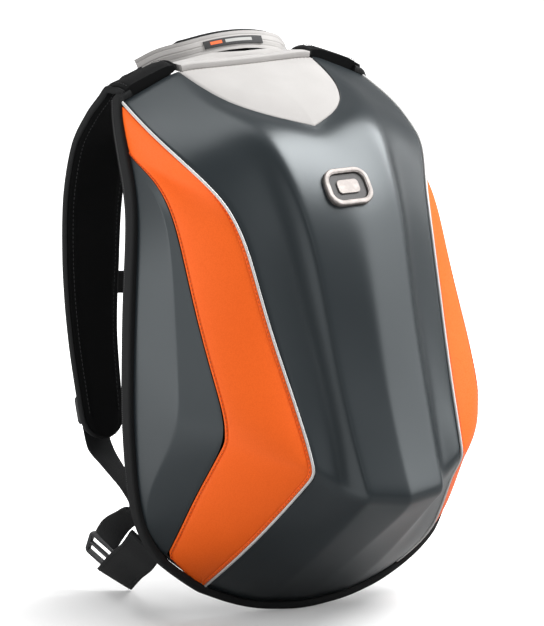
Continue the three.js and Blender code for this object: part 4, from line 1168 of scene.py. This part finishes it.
def frame_at(at, wide, up):
    """A turn and place for a flat piece drawn in X and Y, with X along wide and Y along up."""
    x = np.array(wide, float) / np.linalg.norm(wide)
    y = np.array(up, float) - x * np.dot(up, x)
    y /= np.linalg.norm(y)
    return np.array(at, float), x, y, np.cross(x, y)


def laid(points, frame):
    at, x, y, z = frame
    return at + points[..., :1] * x + points[..., 1:2] * y + points[..., 2:] * z


def level(width, height, corner, z=0.0):
    """A rounded rectangle's outline at a height."""
    flat = rounded((-width / 2, -height / 2), (width / 2, height / 2), corner, CORNER_STEPS)
    return np.c_[flat, np.full(len(flat), z)]


def outwards(flat):
    """Directions out of a closed flat outline, one at each point."""
    out = np.cross(np.roll(flat, -1, 0) - np.roll(flat, 1, 0), [0, 0, 1])
    return out / np.linalg.norm(out, axis=1, keepdims=True)


def ringed(name, width, height, corner, section, frame):
    """A closed rounded rectangle carrying a section [outwards, up]."""
    flat = resampled(level(width, height, corner), 1.2 * MM, closed=True)
    rings = flat[:, None] + outwards(flat)[:, None] * section[:, :1] + np.array([0, 0, 1]) * section[:, 1:]
    faces = tube_faces(*rings.shape[:2], closed=True)
    return facing_out(mesh_piece(name, laid(rings, frame).reshape(-1, 3), faces))


def slab(name, outlines, frame):
    """A solid from stacked outlines of as many points each, closed at both ends."""
    faces = tube_faces(len(outlines), len(outlines[0]))
    return facing_out(mesh_piece(name, laid(np.concatenate(outlines), frame), faces))


badge_down = down_at_rise(plain_front, BADGE_RISE)
badge_seat, badge_out = plain_front.at(badge_down, 0.5), plain_front.out(badge_down, 0.5)
badge_up = (0, 0, 1) - badge_out * badge_out[2]
badge_frame = frame_at(badge_seat + badge_out * BADGE_LIFT, (1, 0, 0), badge_up)
rim_corners = [(2.9, -2.2), (2.9, 2.2), (2.1, 3.2), (-0.9, 3.2), (-1.3, 2.8), (-2.1, 2.8), (-2.4, 0.2)]
rim_section = np.array(rim_corners) * MM
badge_rim = ringed("badge_frame", 42 * MM, 30.5 * MM, 10.6 * MM, rim_section, badge_frame)
pewter = Finish("pewter", Metallic=1.0)
tarnish = pewter.noise(120, detail=4)
pewter.feed("Base Color", pewter.mix(tarnish.band(0.35, 0.7), (0.2, 0.184, 0.175), (0.33, 0.303, 0.29)))
pewter.feed("Roughness", 0.46 + tarnish * 0.25)
pewter.relief(pewter.noise(700, detail=3), 0.05 * MM, 0.4)
rim_edge = ("BEVEL", {"width": 0.3 * MM, "segments": 2, "limit_method": "ANGLE"})
pewter.on(finished(badge_rim, rim_edge, sharp=50), "metal", "badge_rim")
recess = [level(36 * MM, 24.5 * MM, 7.5 * MM, z) for z in (0, 0.9 * MM)]
blank = [level(23 * MM, 13.5 * MM, 4 * MM, z) for z in (0.9 * MM, 1.9 * MM)]
blank.append(level(22.2 * MM, 12.7 * MM, 3.6 * MM, 2.3 * MM))
# The recess's dark colour is painted shade, where the frame and the plate would shadow it.
recess_shade = Finish("recess_shade_metal", Metallic=0.6, Roughness=0.5)
pitted = recess_shade.noise(900, detail=3)
recess_shade.feed("Base Color", recess_shade.mix(pitted, (0.02, 0.02, 0.021), (0.05, 0.048, 0.047)))
recess_shade.relief(pitted, 0.08 * MM, 0.6)
recess_shade.on(finished(slab("badge_recess", recess, badge_frame), sharp=30), "metal", "badge_plate")
pewter.on(finished(slab("badge_blank", blank, badge_frame), sharp=30), "metal", "badge_plate")


# The shoulder straps' pads.
# Foam between black cloth, bound with tape round the edge, with a row of stitching inside it. A strip of
# webbing is sewn down the outside, and the pads fold over the pack's top edge at their upper ends.
STRAP_PATH = [
    # [rise of HEIGHT, out of half width, behind of reach, width, thickness, slope of the width]
    [0.98, 0.596, 0.5, 0.94, 0.9, 0.37], [0.983, 0.596, 0.568, 0.94, 0.9, 0.37],
    [0.975, 0.598, 0.64, 0.97, 0.95, 0.33], [0.953, 0.601, 0.69, 1, 1, 0.22],
    [0.912, 0.607, 0.783, 1, 1, 0.1], [0.847, 0.613, 0.898, 1, 1, 0],
    [0.747, 0.625, 0.965, 0.98, 1, 0], [0.611, 0.649, 0.955, 0.92, 1, 0],
    [0.492, 0.673, 0.909, 0.8, 1, 0], [0.377, 0.685, 0.835, 0.72, 1, 0], [0.297, 0.685, 0.784, 0.67, 0.9, 0],
]


def strap_point(rise, out, behind):
    """A place beside the wearer's back, from shares of the height, the half width and the straps' reach."""
    return [-out * WIDTH / 2 + foot[0], behind * STRAP_REACH + foot[1], rise * HEIGHT + foot[2]]


pad_stations = [[*strap_point(r, o, b), -1, 0, -slope, w, t] for r, o, b, w, t, slope in STRAP_PATH]
STRAP_WIDTH, STRAP_THICK, PAD_STEPS = 60 * MM, 12 * MM, 150
pad_path, pad_rest = flowing(pad_stations, PAD_STEPS)
pad_wide, pad_face = carried(pad_path, pad_rest[:, :3])
pad_width, pad_deep = pad_rest[:, 3:4] * STRAP_WIDTH / 2, pad_rest[:, 4:5] * STRAP_THICK / 2
pad_run = run_along(pad_path)
END_ROUND, SEAM_INSET = 24 * MM, 5.2 * MM
to_end = np.clip((pad_run[-1] - pad_run) / END_ROUND, 0, 1)
end_round = np.sqrt(np.clip(1 - (1 - to_end) ** 2.6, 0, 1))[:, None]
half_width = np.maximum(pad_width * end_round, 3 * MM)
across = np.linspace(-1, 1, 33)
from_rim = (1 - np.abs(across)) * 30
pillow = 0.3 + 0.7 * (1 - np.exp(-from_rim / 4.5)) - 0.12 * np.exp(-(((from_rim - 5.2) / 1.1) ** 2))
there, back_again = [half_width * across, pad_deep * pillow], [half_width * across, -pad_deep * pillow]
pad_section = np.concatenate([np.stack(there, -1), np.stack(back_again, -1)[:, -2:0:-1]], 1)
black_cloth = Finish("black_cloth", Specular_IOR_Level=0.12)
cross_weave = black_cloth.waves(0, 0.8 * MM) * black_cloth.waves(1, 0.8 * MM)
cloth_fuzz = black_cloth.noise(700, detail=3)
pad_black = black_cloth.mix(cloth_fuzz, (0.0012, 0.0013, 0.0014), (0.0052, 0.0055, 0.0058))
black_cloth.feed("Base Color", pad_black)
black_cloth.feed("Roughness", 0.75 + cloth_fuzz * 0.2)
black_cloth.relief(cross_weave * 0.5 + cloth_fuzz, 0.12 * MM, 0.6)
dark_thread = Finish("dark_thread", Roughness=0.7, Base_Color=(0.012, 0.0125, 0.013))
for pad in swept_pair("shoulder_pad", pad_path, pad_wide, pad_section, black_cloth, "black", "strap_pad"):
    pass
edge_line = np.concatenate([pad_path + pad_wide * half_width, (pad_path - pad_wide * half_width)[::-1]])
edge_line = resampled(edge_line, 3 * MM)
edge_guide = np.array([pad_face[np.argmin(np.linalg.norm(pad_path - p, axis=1))] for p in edge_line])
edge_section = ring_section(2.5 * MM, 10) * [1.35, 0.75]
swept_pair("shoulder_edging", edge_line, edge_guide, edge_section, ribbed, "black", "strap_pad")
seam_at, seam_up = pad_wide * np.maximum(half_width - SEAM_INSET, 0), pad_face * pad_deep * 0.97
sewn_rows = [(pad_path + seam_at * e + seam_up * t)[3:-9] for t in (1, -1) for e in (1, -1)]
stitched("pad_stitches", sewn_rows, dark_thread, "black")


# The webbing on the pads.
# Ribbed nylon webbing lies along the outside of each pad, from the fold over the top edge down to the lock,
# and is sewn on along both its edges.
webbing = Finish("webbing", Specular_IOR_Level=0.25)
webbing_rib = abs(webbing.waves(1, 3.2 * MM))
webbing_pick = abs((webbing.run(0) * (math.pi / (0.9 * MM)) + webbing_rib * 0.8).sine())
webbing_fuzz = webbing.noise(600, detail=3)
webbing_shade = webbing_fuzz * 0.6 + webbing_pick * 0.4
webbing.feed("Base Color", webbing.mix(webbing_shade, (0.003, 0.0033, 0.0037), (0.013, 0.0138, 0.0148)))
webbing.feed("Roughness", 0.6 + webbing_fuzz * 0.25)
webbing.relief(webbing_rib * 0.6 + webbing_pick * 0.5, 0.22 * MM, 0.7)
tape_outline = rounded((-10 * MM, -0.7 * MM), (10 * MM, 0.7 * MM), 0.6 * MM, 3)
sewn_part = slice(24, PAD_STEPS - 6)
off_pad = pad_face * np.sign(pad_face[PAD_STEPS // 2, 1])
outside = pad_path + off_pad * (pad_deep + 0.5 * MM)
swept_pair("pad_webbing", outside[sewn_part], pad_wide[sewn_part], tape_outline, webbing, "webbing")
tape_rows = [(outside + pad_wide * edge * 8.2 * MM + off_pad * 0.8 * MM)[sewn_part] for edge in (1, -1)]
stitched("webbing_stitches", tape_rows, dark_thread, "webbing")


# The lower webbing and the anchors.
# Ribbed nylon webbing leaves each pad's lock, swings in behind the side and comes back to a wide folded band
# that is sewn into the seam's lower corner.
WEBBING_PATH = [
    # [rise of HEIGHT, out of half width, behind of reach, width direction x, y, z]
    [0.312, 0.685, 0.872, -1, 0, 0], [0.276, 0.69, 0.815, -1, 0.1, 0],
    [0.247, 0.705, 0.68, -0.95, 0.1, 0.25], [0.213, 0.75, 0.455, -0.9, 0.0, 0.4],
    [0.19, 0.758, 0.37, -0.9, 0.0, 0.4], [0.168, 0.72, 0.5, -0.9, 0.1, 0.35],
    [0.13, 0.655, 0.73, -0.7, 0.45, 0.4], [0.0905, 0.599, 0.896, -0.35, 0.75, 0.5],
]
ANCHOR_PATH = [
    # [rise of HEIGHT, out of half width, behind of reach, width direction x, y, z]
    [0.137, 0.878, 0.15, -0.55, 0.15, 0.8], [0.105, 0.82, 0.3, -0.6, 0.5, 0.65],
    [0.06, 0.67, 0.62, -0.55, 0.7, 0.5], [0.014, 0.523, 0.92, -0.5, 0.74, 0.38],
]


def webbing_band(name, rows, width, thick, steps, node):
    """A pair of bands through some stations. Gives the left one's path, frames and sewn rows."""
    stations = [[*strap_point(*row[:3]), *(np.array(row[3:]) / np.linalg.norm(row[3:]))] for row in rows]
    path, guide = flowing(stations, steps)
    a = np.linspace(-1, 1, 15)
    crown = thick / 2 * (1 - 0.35 * a**6)
    section = np.concatenate([np.c_[a * width / 2, crown], np.c_[a * width / 2, -crown][::-1]])
    swept_pair(name, path, guide, section, webbing, "webbing", node)
    wide, face = carried(path, guide)
    seam_at, seam_up = wide * (width / 2 - 2.6 * MM), face * (thick / 2 + 0.1 * MM)
    return path, wide, face, [path + seam_at * e + seam_up * t for e in (1, -1) for t in (1, -1)]


webbing_band("lower_webbing", WEBBING_PATH, 25 * MM, 2 * MM, 160, "strap_webbing")
ANCHOR_WIDTH, FOLD_STATION = 36 * MM, 3
anchor = webbing_band("anchor_band", ANCHOR_PATH, ANCHOR_WIDTH, 2.6 * MM, 110, "strap_anchor")
anchor_path, anchor_wide, anchor_face, anchor_rows = anchor
stitched("anchor_stitches", anchor_rows, dark_thread, "webbing")
fold_reach = anchor_wide[FOLD_STATION] * ANCHOR_WIDTH / 2
fold_line = anchor_path[FOLD_STATION] + fold_reach * np.linspace(-1, 1, 30)[:, None]
fold_guide = np.broadcast_to(anchor_face[FOLD_STATION], fold_line.shape)
swept_pair("anchor_fold", fold_line, fold_guide, ring_section(2.6 * MM, 12), webbing, "webbing")


# The locks.
# Moulded ladder locks with rounded bars and a ribbed thumb lip, in one piece each. Two hold the webbing at
# the pads' ends, and two at the anchors' ends.
LOCK_WIDTH, LOCK_LENGTH, LOCK_BAR = 33 * MM, 25 * MM, 4 * MM
gloss = Finish("moulded_lock")
scuff = gloss.noise(160, detail=4)
gloss.feed("Base Color", gloss.mix(scuff, (0.012, 0.0125, 0.014), (0.03, 0.031, 0.034)))
gloss.feed("Roughness", 0.28 + scuff * 0.25)
gloss.relief(gloss.noise(1500), 0.03 * MM, 0.4)


def joined(name, pieces):
    """One mesh from several objects, which it takes the place of."""
    points, faces, start = [], [], 0
    for piece in pieces:
        points += [tuple(v.co) for v in piece.data.vertices]
        faces += [tuple(start + i for i in face.vertices) for face in piece.data.polygons]
        start += len(piece.data.vertices)
        bpy.data.objects.remove(piece)
    return mesh_piece(name, points, faces)


def ladder_lock(name, at, wide, up, node):
    """A lock and its mirrored one: a rounded frame, a bar across its middle, and a lip with three ribs."""
    frame = frame_at(at, wide, up)
    middle, x, y, z = frame
    rim_half = [(-2, -1.7), (-1.2, -2.4), (1.2, -2.4), (2, -1.7)]
    rim = np.array([*rim_half, *[(-a, -b) for a, b in rim_half]]) * MM
    line = middle + x * np.linspace(-1, 1, 12)[:, None] * (LOCK_WIDTH / 2 - 2.2 * MM)
    for side_name, turn in SIDES:
        parts = [ringed(name + "_rim", LOCK_WIDTH - LOCK_BAR, LOCK_LENGTH - LOCK_BAR, 2.4 * MM, rim, frame)]
        parts.append(swept(name + "_bar", line, y, ring_section(2.0 * MM, 12, 1.1)))
        for i in (0, 2, 4):
            lip = y * (LOCK_LENGTH / 2 - (1.2 + 0.7 * i) * MM) + z * (1.9 - 0.15 * i) * MM
            rib = middle + (line - middle) * 0.82 + lip
            parts.append(swept(name + "_rib", rib, y, ring_section(0.5 * MM, 8)))
        lock = joined(f"{name}_{side_name}", parts)
        for vertex in lock.data.vertices:
            vertex.co.x *= turn
        gloss.on(finished(facing_out(lock), sharp=40), "buckle", f"{node}_{side_name}")


ladder_lock("pad_ladder", strap_point(0.345, 0.713, 0.925), (0.8, 0.6, 0), (0, 0.22, 1), "pad_lock")
low_lock_at = strap_point(0.067, 0.577, 0.965)
ladder_lock("anchor_ladder", low_lock_at, (-0.25, 0.8, 0.5), (-0.1, -0.6, 0.8), "anchor_lock")


# The chest strap.
# A narrower webbing across the chest joins the pads. It is closed in its middle by a clip of two moulded
# halves, whose prong locks into the socket.
STERNUM_BACK, STERNUM_RISE, CLIP_WIDTH = CLIP_BEHIND - 0.004, CLIP_RISE + 0.004, 46 * MM
CLIP_END = (CLIP_WIDTH / 2 + 0.8 * MM) / (WIDTH / 2)
STERNUM_PATH = [
    # [rise of HEIGHT, out of half width, behind of reach, width direction x, y, z]
    [STERNUM_RISE + 0.008, 0.66, STERNUM_BACK - 0.018, 0, 0, 1],
    [STERNUM_RISE + 0.006, 0.48, STERNUM_BACK - 0.006, 0, 0, 1],
    [STERNUM_RISE, 0.3, STERNUM_BACK + 0.002, 0, 0, 1],
    [CLIP_RISE, CLIP_END, CLIP_BEHIND, 0, 0, 1],
]
webbing_band("chest_webbing", STERNUM_PATH, 20 * MM, 2 * MM, 60, "sternum_strap")
clip_frame = frame_at(strap_point(CLIP_RISE, 0, CLIP_BEHIND), (1, 0, 0), (0, 0, 1))
# The lower halves of the clip's outlines, left to right in mm from its middle, which mirror upwards.
SOCKET = [(-22.6, -11), (-20, -12.6), (-4, -12.6), (3, -11)]
PLUG = [(5, -10.5), (8, -12.4), (13, -12.6), (15, -10), (20, -12), (22.8, -10)]
PRONG = [(2, -6), (7, -7)]


def moulding(name, lower_half, thick, edge):
    """A solid part of the clip with a rounded edge, from the lower half of its outline."""
    outline = np.array([*lower_half, *[(x, -y) for x, y in lower_half[::-1]]]) * MM
    flat = resampled(np.c_[outline, np.zeros(len(outline))], 1.4 * MM, closed=True)
    for _ in range(2):
        flat = (np.roll(flat, 1, 0) + flat * 2 + np.roll(flat, -1, 0)) / 4
    lower = [(edge, -thick / 2), (0.3 * edge, 0.3 * edge - thick / 2), (0, edge - thick / 2)]
    steps = [*lower, *[(inset, -z) for inset, z in lower[::-1]]]
    return slab(name, [flat - outwards(flat) * inset + [0, 0, z] for inset, z in steps], clip_frame)


clip_parts = [
    moulding("clip_socket", SOCKET, 8.8 * MM, 1.4 * MM),
    moulding("clip_plug", PLUG, 8 * MM, 1.2 * MM),
    moulding("clip_prong", PRONG, 6 * MM, 0.6 * MM),
]
gloss.on(finished(joined("chest_clip", clip_parts), sharp=45), "buckle", "sternum_clip")


# The floor, the light and the camera.
# A plain pale sweep under soft studio light, seen through a long lens from a little above the pack and to
# its left.
RIGHT = Vector((0.8194, -0.5735, 0)).normalized()
UP = Vector((0.0996, 0.1422, 0.985)).normalized()
BACK = RIGHT.cross(UP).normalized()
CAMERA_AWAY, LENS = 15.2, 987.6
TARGET = Vector((-0.0302, 0, 0.265)) + Vector(foot)
camera = shown("camera", bpy.data.cameras.new("camera"))
camera.data.lens, camera.data.sensor_width = LENS, 36
camera.data.clip_start, camera.data.clip_end = 1, 60
turn = Matrix((RIGHT, UP, BACK)).transposed().to_4x4()
camera.matrix_world = Matrix.Translation(TARGET + BACK * CAMERA_AWAY) @ turn
bpy.context.scene.camera = camera

FLOOR_HALF = 6
floor_corners = [(x * FLOOR_HALF, y * FLOOR_HALF, 0) for x, y in ((-1, -1), (1, -1), (1, 1), (-1, 1))]
floor_mesh = bpy.data.meshes.new("floor")
floor_mesh.from_pydata(floor_corners, [], [(0, 1, 2, 3)])
floor = shown("floor", floor_mesh)
# The paper glows away from the pack for the camera, and on its left side for the pack, like a lit sweep.
paper = Finish("paper", Roughness=0.9, Specular_IOR_Level=0.0, Emission_Strength=1.0)
seen = paper.node("ShaderNodeLightPath")
away = paper.node("ShaderNodeVectorMath", {"operation": "LENGTH"}, [paper.place()], out="Value")
to_left = 0 - paper.node("ShaderNodeSeparateXYZ", (), [paper.place()])
glow = paper.mix(away.band(0.12, 0.42), (0.2, 0.2, 0.2), (0.95, 0.95, 0.95))
left_glow = paper.mix(to_left.band(0.25, 0.7), (0, 0, 0), (1.3, 1.3, 1.3))
paper.feed("Emission Color", paper.mix(seen, left_glow, glow))
# For every ray but the camera's the paper is darker in colour: painted shade on the floor as the pack
# reflects it and takes light back from it.
paper.feed("Base Color", paper.mix(seen, (0.42, 0.42, 0.42), (0.66, 0.66, 0.66)))
floor.data.materials.append(paper.material)

world = bpy.data.worlds.new("studio")
bpy.context.scene.world = world
bpy.context.scene.view_settings.view_transform = "Standard"
world.use_nodes = True
background = world.node_tree.nodes["Background"].inputs
background["Color"].default_value, background["Strength"].default_value = (1, 1, 1, 1), 0.34


def soft_light(name, towards, away, size, brightness):
    """A softbox in a direction from the pack. Its brightness is its radiance."""
    data = bpy.data.lights.new(name, "AREA")
    data.shape, data.size, data.size_y = "RECTANGLE", size[0], size[1]
    data.energy = brightness * math.pi * size[0] * size[1]
    lamp = shown(name, data)
    ray = Vector(towards).normalized()
    lamp.location = Vector((0, 0, 0.27)) + ray * away
    lamp.rotation_euler = ray.to_track_quat("Z", "Y").to_euler()


soft_light("key", (0.61, -0.24, 0.76), 2.15, (1.2, 1.2), 17)
soft_light("front_right", (0.74, -0.6, 0.32), 2.4, (0.8, 1.0), 6)
soft_light("right", (0.96, 0.05, 0.32), 2.4, (0.8, 1.0), 3)
soft_light("ridge_edge", (-0.2, -0.83, 0.52), 2.8, (0.3, 0.8), 5)
soft_light("above", (-0.1, 0.22, 1.0), 2.3, (1.2, 0.8), 4.5)
soft_light("side", (-0.885, 0.43, 0.12), 2.2, (0.7, 1.6), 4)
soft_light("left", (-0.96, -0.16, 0.34), 2.2, (1.3, 1.6), 1.7)
soft_light("behind", (0.2, 0.9, 0.6), 2.6, (1.6, 1.0), 2.5)
